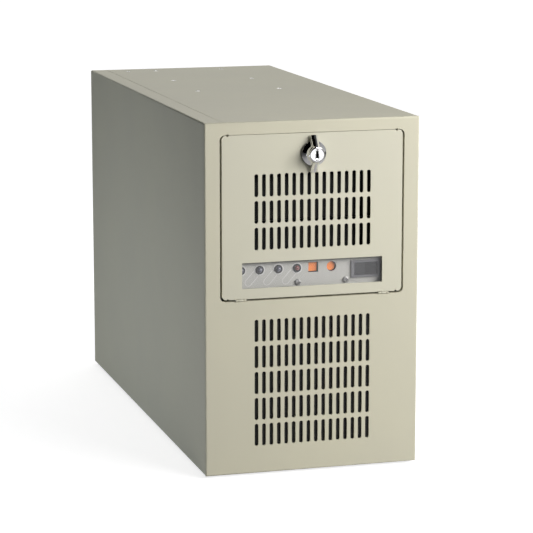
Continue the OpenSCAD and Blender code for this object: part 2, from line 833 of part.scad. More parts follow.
module fan_rotor(depth, bore, hub, chord) {
    mid = (depth - 2) / 2;
    difference() {
        union() {
            rod_y(0, [2, depth - 4], 0, hub - 0.6);
            intersection() {
                union() for (a = [0 : 360 / rotor_blades : 359]) rotate([0, a, 0])
                    translate([hub - 2, mid, 0]) rotate([40, 0, 0])
                        translate([0, -0.9, -chord / 2]) cube([bore, 1.8, chord]);
                rod_y(0, [2, depth - 4], 0, bore - 1.4);
            }
        }
        rod_y(0, [depth * 0.3 - 0.5, depth], 0, fan_shaft_r + play);
    }
}

module at_front_fan() {
    on_feet() translate([0, fan_y, fan_z]) children();
}

module front_fan_frame() {
    color(dark_color) at_front_fan() fan_frame(front_fan, fan_depth, front_bore, 21);
}

module front_fan_rotor() {
    color(dark_color) at_front_fan() fan_rotor(fan_depth, front_bore, 21, 25);
}

module filter_frame() {
    half = front_fan / 2 + 4;
    y = [filter_y, filter_y + filter_t];
    color(dark_color) on_feet() difference() {
        box([-half, half], y, [fan_z - half - 4, fan_z + half + 4]);
        box([-half + 6, half - 6], [y[0] - 1, y[1] - 2], [fan_z - half + 2, fan_z + half - 2]);
        rod_y(0, [y[0], y[1] + 1], fan_z, front_bore);
    }
}

module filter_pad() {
    half = front_fan / 2 - 2.2;
    color([0.1, 0.1, 0.1]) on_feet()
        box([-half, half], [filter_y + 0.4, filter_y + filter_t - 2.2],
            [fan_z - half - 4, fan_z + half + 4]);
}

// Turns a fan that blows along +Y so that it blows along +X, at the processor
module at_cpu_fan() {
    on_feet() translate([mb_face - cpu_base - sink_h - cpu_fan_depth, cpu_y, cpu_z])
        rotate([0, 0, -90]) children();
}

module cpu_fan_frame() {
    color(dark_color) at_cpu_fan() fan_frame(small_fan, cpu_fan_depth, small_bore, 15);
}

module cpu_fan_rotor() {
    color(dark_color) at_cpu_fan() fan_rotor(cpu_fan_depth, small_bore, 15, 17);
}

// ---- Main board ----

// The board's nine screw holes, in three rows from the rear and three heights
function hole_points() = [
    for (y = [mb_y - 10.2, mb_y - 165.1, mb_y - 227.3])
        for (z = [mb_z + 8, mb_z + 143, mb_z + board_h - 4.5]) [y, z]
];

module mainboard() {
    color([0.1, 0.3, 0.16]) on_feet() {
        difference() {
            box([mb_face, mb_x], [mb_y - board_d, mb_y], [mb_z, mb_z + board_h]);
            for (p = hole_points()) rod_x([mb_face - 1, mb_x + 1], p[0], p[1], 1.9);
        }
        // The processor's socket, two large chips and the power connector
        box([mb_face - cpu_base, mb_face], [cpu_y - 24, cpu_y + 24], [cpu_z - 24, cpu_z + 24]);
        box([mb_face - 2.2, mb_face], [20, 54], [112, 146]);
        box([mb_face - 2.2, mb_face], [30, 52], [60, 82]);
        box([mb_face - 12, mb_face], [10, 20], [180, 232]);
    }
}

// Standoffs of the main board, and spacers of the control board
module board_standoffs() {
    color([0.75, 0.6, 0.3]) on_feet() {
        for (p = hole_points()) difference() {
            rod_x([mb_x, side_x - sheet], p[0], p[1], 3);
            rod_x([mb_x - 1, mb_x + 4], p[0], p[1], 1.6);
        }
        for (x = screw_x) difference() {
            rod_y(x, [panel_y + sheet, board_y], screw_z, 3);
            rod_y(x, [panel_y, board_y + 1], screw_z, 1.6);
        }
    }
}

// The same screw holds the main board and, from the front, the control board
module board_screws() {
    color(steel_color) on_feet() {
        for (p = hole_points()) {
            rod_x([mb_face, mb_x + 3.5], p[0], p[1], screw_r);
            rod_x([mb_face - 1.8, mb_face], p[0], p[1], screw_head_r);
        }
        for (x = screw_x) {
            rod_y(x, [panel_y, board_y + 3], screw_z, screw_r);
            rod_y(x, [panel_y - 1.8, panel_y], screw_z, screw_head_r);
        }
    }
}

module io_ports() {
    color([0.7, 0.7, 0.72]) on_feet() for (p = ports) difference() {
        box([mb_face - p[2], mb_face], [mb_y - 20, rear_y + 0.4], [p[0] - p[1] / 2, p[0] + p[1] / 2]);
        box([mb_face - p[2] + 2, mb_face - 2], [rear_y - 8, rear_y + 1],
            [p[0] - p[1] / 2 + 2, p[0] + p[1] / 2 - 2]);
    }
}

module io_shield() {
    y = rear_y - sheet;
    color(steel_color) on_feet() difference() {
        union() {
            box([io_x[0] - 1.5, io_x[1] + 1.5], [y - 0.8, y], [io_z[0] - 1.5, io_z[1] + 1.5]);
            box([io_x[0] + 0.2, io_x[1] - 0.2], [y, y + 1], [io_z[0] + 0.2, io_z[1] - 0.2]);
        }
        for (p = ports)
            box([mb_face - p[2] - 0.3, mb_face + 0.1], [y - 2, y + 3],
                [p[0] - p[1] / 2 - 0.3, p[0] + p[1] / 2 + 0.3]);
        box([mb_face - 0.1, mb_face + 3], [y - 2, y - 0.3], [io_z[0] - 3, io_z[1] + 3]);
    }
}

module card_sockets() {
    color([0.85, 0.84, 0.8]) on_feet() for (i = [0 : card_slots - 1]) difference() {
        box([mb_face - 15, mb_face], [92, 177], [card_z(i) - 4.2, card_z(i) + 4.2]);
        box([mb_face - 16, mb_face - 4], [95, 174], [card_z(i) - 0.9, card_z(i) + 0.9]);
    }
}

// A memory module on edge in its socket, with a row of eight chips on each side
module memory_module() {
    y = 60;
    z = [168, 301];
    color([0.1, 0.35, 0.2]) on_feet() {
        box([mb_face - 9, mb_face], [y - 3, y + 3], [z[0] - 4, z[1] + 4]);
        box([mb_face - 34, mb_face - 9], [y - 0.65, y + 0.65], z);
        for (k = [0 : 7])
            box([mb_face - 30, mb_face - 16], [y - 1.9, y + 1.9],
                [z[0] + 6 + k * 15.6, z[0] + 17 + k * 15.6]);
    }
}

module cpu_heatsink() {
    x1 = mb_face - cpu_base;
    half = small_fan / 2;
    color([0.75, 0.76, 0.78]) on_feet() {
        box([x1 - 6, x1], [cpu_y - half, cpu_y + half], [cpu_z - half, cpu_z + half]);
        for (k = [0 : 15])
            box([x1 - sink_h, x1 - 5], [cpu_y - half + k * 5.2, cpu_y - half + k * 5.2 + 1.6],
                [cpu_z - half, cpu_z + half]);
    }
}

// ---- Power supply ----

module psu_case() {
    color([0.6, 0.61, 0.62]) on_feet() difference() {
        box(psu_x, psu_y, psu_z);
        box([psu_x[0] + psu_t, psu_x[1] - psu_t], [psu_y[0] + psu_t, psu_y[1] - psu_t],
            [psu_z[0] + psu_t, psu_z[1] - psu_t]);
        rod_y(psu_mid_x, [psu_y[1] - 3, psu_y[1] + 1], psu_fan_z, small_bore);
        box([psu_mid_x - 13.8, psu_mid_x + 13.8], [psu_y[1] - 3, psu_y[1] + 1],
            [inlet_z - 10.2, inlet_z + 10.2]);
        box([psu_mid_x - 10.4, psu_mid_x + 10.4], [psu_y[1] - 3, psu_y[1] + 1],
            [supply_switch_z - 6.4, supply_switch_z + 6.4]);
        for (p = psu_points()) rod_y(p[0], [psu_y[1] - 3, psu_y[1] + 1], p[1], 1.65);
        along_y([psu_y[0] - 1, psu_y[0] + 3]) slots(9, 5, 284, psu_mid_x);
    }
}

module psu_fan_guard() {
    y = psu_y[1];
    color(steel_color) on_feet() along_y([y, y + 1.6]) translate([psu_mid_x, psu_fan_z]) {
        for (r = [9 : 7 : 37]) difference() {
            circle(r + 0.8);
            circle(r - 0.8);
        }
        for (a = [45 : 90 : 315]) rotate(a) rect([8.6, 43], [-0.8, 0.8]);
        circle(2);
        for (a = [0 : 90 : 270]) rotate(a) rect([0, 9], [-0.8, 0.8]);
    }
}

// Turns a fan that blows along +Y round, just inside the rear of the power supply
module at_psu_fan() {
    on_feet() translate([psu_mid_x, psu_y[1] - psu_t - 25, psu_fan_z]) children();
}

module psu_fan_frame() {
    color(dark_color) at_psu_fan() fan_frame(small_fan, 25, small_bore, 15);
}

module psu_fan_rotor() {
    color(dark_color) at_psu_fan() fan_rotor(25, small_bore, 15, 17);
}

// The mains inlet and the housing of the supply's switch, moulded in one piece
module psu_inlet() {
    y = psu_y[1];
    color(dark_color) on_feet() {
        difference() {
            union() {
                box([psu_mid_x - 15.4, psu_mid_x + 15.4], [y, y + 2.4],
                    [supply_switch_z - 8, inlet_z + 11.6]);
                box([psu_mid_x - 13.6, psu_mid_x + 13.6], [y - 18, y],
                    [inlet_z - 10, inlet_z + 10]);
                box([psu_mid_x - 10.2, psu_mid_x + 10.2], [y - 13, y],
                    [supply_switch_z - 6.2, supply_switch_z + 6.2]);
            }
            box([psu_mid_x - 12, psu_mid_x + 12], [y - 16, y + 3], [inlet_z - 8, inlet_z + 8]);
            box([psu_mid_x - 8.8, psu_mid_x + 8.8], [y - 8, y + 3],
                [supply_switch_z - 5.2, supply_switch_z + 5.2]);
        }
        // The inlet's three pins
        for (p = [[-7, -3], [7, -3], [0, 3]])
            box([psu_mid_x + p[0] - 1, psu_mid_x + p[0] + 1], [y - 17, y - 1],
                [inlet_z + p[1] - 2, inlet_z + p[1] + 2]);
        rod_z(psu_mid_x, supply_rocker_y, [supply_switch_z - 5.3, supply_switch_z + 5.3],
            rocker_pin_r);
    }
}

module psu_rocker() {
    color(dark_color) on_feet() translate([psu_mid_x, supply_rocker_y, supply_switch_z - 5])
        rotate([0, 0, 180 - rocker_swing / 2]) difference() {
            linear_extrude(10) rocker_outline(supply_rocker_l);
            translate([0, 0, -1]) cylinder(h = 12, r = rocker_pin_r + play);
        }
}

case_shell();
front_panel();
rear_panel();
feet();
roof_stiffener();
roof_screws();
drive_cage();
bay_cover_top();
bay_cover_middle();
bay_cover_small();
hard_disk();
control_panel();
control_board();
lamp_bezels();
status_lamps();
alarm_lamp();
alarm_button();
reset_button();
button_switches();
power_switch_body();
power_rocker();
filter_frame();
filter_pad();
front_fan_frame();
front_fan_rotor();
mainboard();
board_standoffs();
board_screws();
io_shield();
io_ports();
card_sockets();
memory_module();
cpu_heatsink();
cpu_fan_frame();
cpu_fan_rotor();
slot_cover_1();
slot_cover_2();
slot_cover_3();
slot_cover_4();
slot_cover_5();
slot_cover_6();
slot_cover_7();
rear_screws();
psu_case();
psu_fan_guard();
psu_fan_frame();
psu_fan_rotor();
psu_inlet();
psu_rocker();
hinge_frame_leaves();
hinge_pins();
door_panel();
hinge_door_leaves();
door_window();
lock_body();
lock_knob();
lock_cam();
left_cover();
thumbscrew_upper();
thumbscrew_lower();
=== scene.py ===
import json
import math

import bmesh
import bpy
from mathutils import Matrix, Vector


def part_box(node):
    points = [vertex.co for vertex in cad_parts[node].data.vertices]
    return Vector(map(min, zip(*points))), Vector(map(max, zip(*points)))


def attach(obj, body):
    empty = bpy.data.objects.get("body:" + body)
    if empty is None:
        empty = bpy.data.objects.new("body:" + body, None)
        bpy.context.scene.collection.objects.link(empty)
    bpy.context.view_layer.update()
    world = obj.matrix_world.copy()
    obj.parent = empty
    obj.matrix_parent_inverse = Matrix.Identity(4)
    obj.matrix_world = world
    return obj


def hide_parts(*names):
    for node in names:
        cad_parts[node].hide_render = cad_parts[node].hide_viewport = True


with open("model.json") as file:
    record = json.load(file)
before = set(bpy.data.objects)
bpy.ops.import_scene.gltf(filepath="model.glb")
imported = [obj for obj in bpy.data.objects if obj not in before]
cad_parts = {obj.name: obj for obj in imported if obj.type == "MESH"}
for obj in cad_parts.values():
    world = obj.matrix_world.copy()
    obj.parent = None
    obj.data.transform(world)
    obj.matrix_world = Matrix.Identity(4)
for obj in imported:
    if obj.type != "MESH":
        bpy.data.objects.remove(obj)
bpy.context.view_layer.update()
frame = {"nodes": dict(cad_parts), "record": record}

MM = 0.001
NEVER_ZERO = 1e-6
LEFTWARD = (-1, 0, 0)
FORWARD = (0, -1, 0)
REARWARD = (0, 1, 0)
UPWARD = (0, 0, 1)
record = frame["record"]
nodes = frame["nodes"]
SLOT_OF = {part["node"]: part["material_slot"] for part in record["subparts"]}

# ---- Camera ----

CAMERA_AT = Vector((-0.603, -2.1783, 0.5711))
CAMERA_YAW = math.radians(-16.11)
CAMERA_DIP = math.radians(10.634)
CAMERA_LENS = 155.47


def add_camera():
    """A long lens at the photograph's viewing angle."""
    data = bpy.data.cameras.new("camera")
    data.lens = CAMERA_LENS
    data.sensor_width = 36.0
    data.clip_end = 100.0
    camera = bpy.data.objects.new("camera", data)
    camera.location = CAMERA_AT
    camera.rotation_euler = (math.pi / 2 - CAMERA_DIP, 0.0, CAMERA_YAW)
    bpy.context.collection.objects.link(camera)
    bpy.context.scene.camera = camera


# ---- Studio ----

WHITE = (1.0, 1.0, 1.0, 1.0)
FILL_SIDE = (0.8, 0.6, 0.0)
FILL_START = -0.15
FILL_STRENGTH = 0.55
FLOOR_HALF = 6.0
FLOOR_GLOW = 0.8
FLOOR_GLOW_SPAN = (0.3, 0.7)
# The floor's colour is brighter near the object than far off: a painted pool of light, which keeps the
# bounce and the reflections near the object.
FLOOR_ALBEDO = 0.5
FLOOR_PAINTED_DIM_ALBEDO = 0.25
FLOOR_PAINTED_POOL_SPAN = (0.4, 0.85)


def area_light(name, place, aim, size, power, tint=(1.0, 1.0, 1.0)):
    """A soft box that the camera doesn't see."""
    data = bpy.data.lights.new(name, "AREA")
    data.color = tint
    data.shape = "RECTANGLE"
    data.size, data.size_y = size
    data.energy = power
    light = bpy.data.objects.new(name, data)
    light.location = place
    light.rotation_euler = (Vector(aim) - Vector(place)).to_track_quat("-Z", "Y").to_euler()
    light.visible_camera = False
    bpy.context.collection.objects.link(light)


def map_range(tree, value, span, result):
    """Map a value's span to a result's span, and hold it level past either end."""
    node = tree.nodes.new("ShaderNodeMapRange")
    for name, number in zip(("From Min", "From Max", "To Min", "To Max"), (*span, *result)):
        node.inputs[name].default_value = number
    tree.links.new(value, node.inputs["Value"])
    return node.outputs["Result"]


def add_world():
    """A white backdrop for the camera. Everything else is lit by a dim fill, brighter on one side."""
    world = bpy.data.worlds.new("studio")
    bpy.context.scene.world = world
    world.use_nodes = True
    tree = world.node_tree
    tree.nodes.clear()
    seen = tree.nodes.new("ShaderNodeBackground")
    lit = tree.nodes.new("ShaderNodeBackground")
    for shader in (seen, lit):
        shader.inputs["Color"].default_value = WHITE
        shader.inputs["Strength"].default_value = 1.0
    where = tree.nodes.new("ShaderNodeTexCoord")
    side = tree.nodes.new("ShaderNodeVectorMath")
    side.operation = "DOT_PRODUCT"
    side.inputs[1].default_value = Vector(FILL_SIDE).normalized()
    tree.links.new(where.outputs["Generated"], side.inputs[0])
    fill = map_range(tree, side.outputs["Value"], (FILL_START, 1.0), (0.0, FILL_STRENGTH))
    tree.links.new(fill, lit.inputs["Strength"])
    path = tree.nodes.new("ShaderNodeLightPath")
    mix = tree.nodes.new("ShaderNodeMixShader")
    output = tree.nodes.new("ShaderNodeOutputWorld")
    tree.links.new(path.outputs["Is Camera Ray"], mix.inputs["Fac"])
    tree.links.new(lit.outputs["Background"], mix.inputs[1])
    tree.links.new(seen.outputs["Background"], mix.inputs[2])
    tree.links.new(mix.outputs["Shader"], output.inputs["Surface"])


def add_floor():
    """Pale paper that glows white to the camera, more so away from the object, so it has no edge. Its
    colour dims away from the object: a painted pool of light that keeps the bounce and the reflections near
    the object.
    """
    mesh = bpy.data.meshes.new("floor")
    half = FLOOR_HALF
    corners = [(-half, -half, 0), (half, -half, 0), (half, half, 0), (-half, half, 0)]
    mesh.from_pydata(corners, [], [(0, 1, 2, 3)])
    floor = bpy.data.objects.new("floor", mesh)
    bpy.context.collection.objects.link(floor)
    mat, shader = new_material("floor_paper")
    shader.inputs["Roughness"].default_value = 0.8
    shader.inputs["Specular IOR Level"].default_value = 0.1
    shader.inputs["Emission Color"].default_value = WHITE
    tree = mat.node_tree
    where = tree.nodes.new("ShaderNodeTexCoord")
    span = tree.nodes.new("ShaderNodeVectorMath")
    span.operation = "LENGTH"
    tree.links.new(where.outputs["Object"], span.inputs[0])
    away = span.outputs["Value"]
    # Painted pool of light: the floor's colour dims away from the object.
    shade = map_range(tree, away, FLOOR_PAINTED_POOL_SPAN, (FLOOR_ALBEDO, FLOOR_PAINTED_DIM_ALBEDO))
    grey = tree.nodes.new("ShaderNodeCombineColor")
    for channel in ("Red", "Green", "Blue"):
        tree.links.new(shade, grey.inputs[channel])
    tree.links.new(grey.outputs["Color"], shader.inputs["Base Color"])
    path = tree.nodes.new("ShaderNodeLightPath")
    seen = tree.nodes.new("ShaderNodeMath")
    seen.operation = "MULTIPLY"
    tree.links.new(map_range(tree, away, FLOOR_GLOW_SPAN, (FLOOR_GLOW, 1.0)), seen.inputs[0])
    tree.links.new(path.outputs["Is Camera Ray"], seen.inputs[1])
    tree.links.new(seen.outputs["Value"], shader.inputs["Emission Strength"])
    mesh.materials.append(mat)


# ---- Materials ----

NOISE_MIDDLE = (0.3, 0.7)


def new_material(name):
    """A node material and its main shader."""
    mat = bpy.data.materials.new(name)
    mat.use_nodes = True
    return mat, mat.node_tree.nodes["Principled BSDF"]


class Surface:
    """A Principled material whose colour, roughness and bump vary with noise in the object's frame."""

    def __init__(self, name, colour, roughness=0.5, metallic=0.0, specular=0.5):
        self.mat, self.shader = new_material(name)
        self.tree = self.mat.node_tree
        self.colour = colour
        self.rough = roughness
        self.shader.inputs["Base Color"].default_value = (*colour, 1.0)
        self.shader.inputs["Roughness"].default_value = roughness
        self.shader.inputs["Metallic"].default_value = metallic
        self.shader.inputs["Specular IOR Level"].default_value = specular
        self.place = self.tree.nodes.new("ShaderNodeTexCoord").outputs["Object"]

    def link(self, a, b):
        self.tree.links.new(a, b)

    def noise(self, size, detail, stretch=(1.0, 1.0, 1.0)):
        """Noise whose features are about size metres across, divided by stretch on each axis."""
        where = self.place
        if stretch != (1.0, 1.0, 1.0):
            mapping = self.tree.nodes.new("ShaderNodeMapping")
            mapping.inputs["Scale"].default_value = stretch
            self.link(where, mapping.inputs["Vector"])
            where = mapping.outputs["Vector"]
        node = self.tree.nodes.new("ShaderNodeTexNoise")
        node.inputs["Scale"].default_value = 1.0 / size
        node.inputs["Detail"].default_value = detail
        self.link(where, node.inputs["Vector"])
        return node.outputs["Fac"]

    def cells(self, size):
        """Patches about size metres across, each with its own random value."""
        node = self.tree.nodes.new("ShaderNodeTexVoronoi")
        node.inputs["Scale"].default_value = 1.0 / size
        self.link(self.place, node.inputs["Vector"])
        return node.outputs["Color"]

    def spread(self, value, low, high):
        """Map the middle of a 0 to 1 value, where most noise lies, to low to high."""
        return map_range(self.tree, value, NOISE_MIDDLE, (low, high))

    def vary_colour(self, value, amount, tint=(1.0, 1.0, 1.0)):
        """Blend from a darker to a lighter, tinted colour by a 0 to 1 value."""
        ramp = self.tree.nodes.new("ShaderNodeValToRGB")
        dark = [c * (1.0 - amount) for c in self.colour]
        light = [min(1.0, c * (1.0 + amount) * t) for c, t in zip(self.colour, tint)]
        for stop, position, colour in zip(ramp.color_ramp.elements, NOISE_MIDDLE, (dark, light)):
            stop.position = position
            stop.color = (*colour, 1.0)
        self.link(value, ramp.inputs["Fac"])
        self.link(ramp.outputs["Color"], self.shader.inputs["Base Color"])

    def vary_roughness(self, value, amount):
        """Spread the roughness by amount either way by a 0 to 1 value."""
        low, high = max(0.02, self.rough - amount), min(1.0, self.rough + amount)
        self.link(self.spread(value, low, high), self.shader.inputs["Roughness"])

    def bump(self, value, height, strength):
        """Raise the surface by up to height metres by a 0 to 1 value."""
        node = self.tree.nodes.new("ShaderNodeBump")
        node.inputs["Strength"].default_value = strength
        node.inputs["Distance"].default_value = height
        self.link(value, node.inputs["Height"])
        self.link(node.outputs["Normal"], self.shader.inputs["Normal"])


def paint(name, colour):
    """Baked enamel on sheet steel, with a fine orange-peel skin."""
    surface = Surface(name, colour, 0.65, specular=0.3)
    surface.vary_colour(surface.noise(70 * MM, 3.0), 0.014, (1.0, 1.0, 0.985))
    surface.vary_roughness(surface.noise(6 * MM, 4.0), 0.025)
    surface.bump(surface.noise(1.1 * MM, 3.0), 0.04 * MM, 0.5)
    return surface.mat


def zinc(name):
    """Galvanised sheet with a faint spangle."""
    surface = Surface(name, (0.62, 0.63, 0.64), 0.45, 0.65)
    surface.vary_colour(surface.cells(7 * MM), 0.08, (0.98, 1.0, 1.03))
    surface.vary_roughness(surface.noise(4 * MM, 4.0), 0.09)
    surface.bump(surface.noise(0.8 * MM, 2.0), 0.02 * MM, 0.4)
    return surface.mat


def nickel(name, colour=(0.68, 0.68, 0.69), roughness=0.26):
    """Dull plated metal."""
    surface = Surface(name, colour, roughness, 1.0)
    surface.vary_colour(surface.noise(5 * MM, 3.0), 0.04)
    surface.vary_roughness(surface.noise(3 * MM, 3.0), 0.06)
    surface.bump(surface.noise(3 * MM, 2.0), 0.02 * MM, 0.3)
    return surface.mat


def chrome(name):
    """Bright plating, a little uneven."""
    surface = Surface(name, (0.86, 0.86, 0.87), 0.1, 1.0)
    surface.vary_roughness(surface.noise(2 * MM, 5.0), 0.05)
    surface.vary_colour(surface.noise(4 * MM, 3.0), 0.03)
    surface.bump(surface.noise(1.5 * MM, 3.0), 0.02 * MM, 0.35)
    return surface.mat


def moulded(name, colour, roughness=0.5, grain=0.6 * MM, depth=0.04 * MM):
    """Moulded plastic with a fine spark-eroded texture."""
    surface = Surface(name, colour, roughness)
    surface.vary_colour(surface.noise(10 * MM, 3.0), 0.05)
    surface.vary_roughness(surface.noise(3 * MM, 3.0), 0.06)
    surface.bump(surface.noise(grain, 2.0), depth, 0.6)
    return surface.mat


def rubber(name):
    """Matt black rubber, a little dusty."""
    surface = Surface(name, (0.025, 0.025, 0.026), 0.82)
    surface.vary_colour(surface.noise(4 * MM, 4.0), 0.3)
    surface.bump(surface.noise(0.9 * MM, 3.0), 0.1 * MM, 0.6)
    return surface.mat


def brushed_aluminium(name, colour=(0.7, 0.71, 0.73)):
    """Bare metal with a fine grain across Z."""
    stretch = (1.0, 1.0, 12.0)
    surface = Surface(name, colour, 0.34, 1.0)
    surface.vary_colour(surface.noise(4 * MM, 4.0, stretch), 0.07)
    surface.vary_roughness(surface.noise(3 * MM, 4.0, stretch), 0.1)
    surface.bump(surface.noise(1.5 * MM, 2.0, stretch), 0.02 * MM, 0.5)
    return surface.mat


def circuit_board(name):
    """Solder mask over copper tracks, which show as faint lighter lines."""
    colour = (0.02, 0.12, 0.055)
    surface = Surface(name, colour, 0.32)
    tracks = surface.tree.nodes.new("ShaderNodeTexBrick")
    tracks.inputs["Scale"].default_value = 90.0
    tracks.inputs["Mortar Size"].default_value = 0.06
    for socket, gain in (("Color1", 1.0), ("Color2", 1.12), ("Mortar", 2.3)):
        tracks.inputs[socket].default_value = (*[c * gain for c in colour], 1.0)
    turn = surface.tree.nodes.new("ShaderNodeMapping")
    turn.inputs["Rotation"].default_value = (0.0, math.pi / 2, 0.0)
    surface.link(surface.place, turn.inputs["Vector"])
    surface.link(turn.outputs["Vector"], tracks.inputs["Vector"])
    surface.link(tracks.outputs["Color"], surface.shader.inputs["Base Color"])
    surface.bump(tracks.outputs["Fac"], 0.05 * MM, 0.4)
    return surface.mat


def foam(name):
    """Open-celled black foam."""
    surface = Surface(name, (0.014, 0.014, 0.015), 0.95)
    surface.vary_colour(surface.noise(2 * MM, 3.0), 0.5)
    surface.bump(surface.noise(1.6 * MM, 3.0), 0.8 * MM, 1.0)
    return surface.mat


def acrylic(name):
    """A clear pane: mostly see-through, with a faint gloss and haze."""
    surface = Surface(name, (0.9, 0.92, 0.92), 0.08)
    surface.shader.inputs["Alpha"].default_value = 0.05
    surface.vary_roughness(surface.noise(20 * MM, 3.0), 0.03)
    surface.vary_colour(surface.noise(30 * MM, 2.0), 0.02)
    return surface.mat


def lens(name, colour):
    """The tinted, glossy plastic of an unlit lamp."""
    surface = Surface(name, colour, 0.14)
    surface.shader.inputs["Coat Weight"].default_value = 0.7
    surface.vary_colour(surface.noise(1.5 * MM, 2.0), 0.12)
    surface.vary_roughness(surface.noise(1 * MM, 2.0), 0.04)
    return surface.mat


CASE_BEIGE = (0.575, 0.56, 0.435)
DOOR_BEIGE = (0.59, 0.58, 0.465)

MATERIALS = {
    "case_paint": lambda n: paint(n, CASE_BEIGE),
    "door_paint": lambda n: paint(n, DOOR_BEIGE),
    # The bay covers' near-zero black is partly their black plastic and partly painted shade, so the door's
    # slots read as dark as deep shade.
    "bay_plastic": lambda n: moulded(n, (0.007, 0.007, 0.0075), 0.75, 1.2 * MM, 0.08 * MM),
    "zinc_steel": zinc,
    "screw_steel": nickel,
    "foot_rubber": rubber,
    "panel_paint": lambda n: paint(n, (0.48, 0.48, 0.45)),
    "board_green": circuit_board,
    "bezel_black": lambda n: moulded(n, (0.03, 0.03, 0.032), 0.4),
    "lamp_clear": lambda n: lens(n, (0.13, 0.135, 0.17)),
    "lamp_red": lambda n: lens(n, (0.2, 0.07, 0.065)),
    "button_orange": lambda n: moulded(n, (1.0, 0.27, 0.04), 0.45),
    "switch_grey": lambda n: moulded(n, (0.135, 0.135, 0.145), 0.45),
    "switch_black": lambda n: moulded(n, (0.035, 0.035, 0.038), 0.35),
    "fan_black": lambda n: moulded(n, (0.02, 0.02, 0.022), 0.45),
    "filter_foam": foam,
    "window_acrylic": acrylic,
    "lock_chrome": chrome,
    "cam_steel": nickel,
    "standoff_brass": lambda n: nickel(n, (0.7, 0.5, 0.22), 0.3),
    "socket_plastic": lambda n: moulded(n, (0.66, 0.64, 0.56), 0.45),
    "port_metal": nickel,
    "heatsink_aluminium": brushed_aluminium,
    "disk_metal": lambda n: brushed_aluminium(n, (0.5, 0.51, 0.52)),
}


def finish_cad_nodes():
    """Give every CAD node the material of its record slot. The lock's body has a darker one."""
    lock_rim = nickel("lock_rim", (0.2, 0.2, 0.2), 0.35)
    for name, obj in nodes.items():
        obj.data.materials.clear()
        finish = lock_rim if name == "lock_body" else materials[SLOT_OF[name]]
        obj.data.materials.append(finish)


# The radius of the edges in millimetres, and the CAD nodes that have it.
EDGE_ROUNDING_MM = {
    0.35: ("front_panel", "door_panel", "case_shell", "left_cover"),
    0.25: ("rear_panel", "roof_stiffener", "drive_cage", "psu_case", "io_shield", "io_ports"),
    0.5: ("lock_body", "lamp_bezels", "feet", "hard_disk", "power_switch_body", "psu_inlet"),
    0.6: ("alarm_button", "reset_button", "power_rocker", "psu_rocker", "control_panel"),
    0.8: ("bay_cover_top", "bay_cover_middle", "bay_cover_small", "filter_frame"),
    0.3: tuple(f"slot_cover_{k}" for k in range(1, 8)) + ("card_sockets", "lock_cam", "cpu_heatsink"),
    0.4: ("front_fan_frame", "cpu_fan_frame", "psu_fan_frame", "hinge_frame_leaves", "hinge_door_leaves"),
}


def soften(obj, width):
    """Round a mesh's sharp edges a little, as bending, punching, moulding and painting do."""
    weld = obj.modifiers.new("weld", "WELD")
    weld.merge_threshold = 0.01 * MM
    flat = obj.modifiers.new("flat", "DECIMATE")
    flat.decimate_type = "DISSOLVE"
    flat.angle_limit = math.radians(0.5)
    bevel = obj.modifiers.new("bevel", "BEVEL")
    bevel.width = width
    bevel.segments = 2
    bevel.limit_method = "ANGLE"
    bevel.angle_limit = math.radians(35)
    bevel.harden_normals = True
    bevel.use_clamp_overlap = True


# ---- Places taken from the CAD ----


def joint_at(name):
    """The point that a joint turns about or starts from."""
    joint = next(j for j in record["behaviour"]["joints"] if j["name"] == name)
    return Vector(joint["pos_m"])


def islands(node):
    """The box of each separate solid in a CAD node, in order of place."""
    bm = bmesh.new()
    bm.from_mesh(nodes[node].data)
    bmesh.ops.remove_doubles(bm, verts=bm.verts, dist=0.001 * MM)
    left = set(bm.verts)
    boxes = []
    for first in list(bm.verts):
        if first not in left:
            continue
        left.remove(first)
        stack = [first]
        low, high = first.co.copy(), first.co.copy()
        while stack:
            vert = stack.pop()
            low = Vector([min(a, b) for a, b in zip(low, vert.co)])
            high = Vector([max(a, b) for a, b in zip(high, vert.co)])
            for edge in vert.link_edges:
                other = edge.other_vert(vert)
                if other in left:
                    left.remove(other)
                    stack.append(other)
        boxes.append((low, high))
    bm.free()
    return sorted(boxes, key=lambda b: [round(c, 5) for c in b[0]])


# ---- Mesh helpers ----


def clamp(value):
    return max(0.0, min(1.0, value))


def side_axes(axis):
    """The axis made one long, and two directions square to it and to each other."""
    axis = Vector(axis).normalized()
    helper = Vector((0, 0, 1)) if abs(axis.z) < 0.9 else Vector((1, 0, 0))
    side = helper.cross(axis).normalized()
    return axis, side, axis.cross(side)


def bridge(bm, a, b, material=0):
    """Join two rings of points, either of which may be a single point."""
    count = max(len(a), len(b))
    for k in range(count):
        n = (k + 1) % count
        corners = [a[k % len(a)], a[n % len(a)], b[n % len(b)], b[k % len(b)]]
        if len(a) == 1:
            corners.pop(1)
        elif len(b) == 1:
            corners.pop(2)
        bm.faces.new(corners).material_index = material


def lathe(bm, base, axis, profile, segments=40, ripple=None, material=0):
    """Turn pairs of radius and height about axis at base. ripple(angle) scales the radius."""
    axis, side, other = side_axes(axis)
    last = None
    for radius, height in profile:
        centre = Vector(base) + axis * height
        ring = []
        for k in range(segments if radius > 0 else 1):
            angle = 2 * math.pi * k / segments
            reach = radius * (ripple(angle) if ripple else 1.0)
            out = side * math.cos(angle) + other * math.sin(angle)
            ring.append(bm.verts.new(centre + out * reach))
        if last:
            bridge(bm, last, ring, material)
        last = ring


def block(bm, low, high, bevel, material=0):
    """A block with rounded edges."""
    verts = bmesh.ops.create_cube(bm, size=1.0)["verts"]
    for vert in verts:
        vert.co = Vector([a + (b - a) * (c + 0.5) for a, b, c in zip(low, high, vert.co)])
    edges, faces = [], []
    for vert in verts:
        edges += [edge for edge in vert.link_edges if edge not in edges]
        faces += [face for face in vert.link_faces if face not in faces]
    for face in faces:
        face.material_index = material
    bmesh.ops.bevel(
        bm, geom=edges, offset=bevel, segments=2, profile=0.5, affect="EDGES",
        clamp_overlap=True, material=-1,
    )


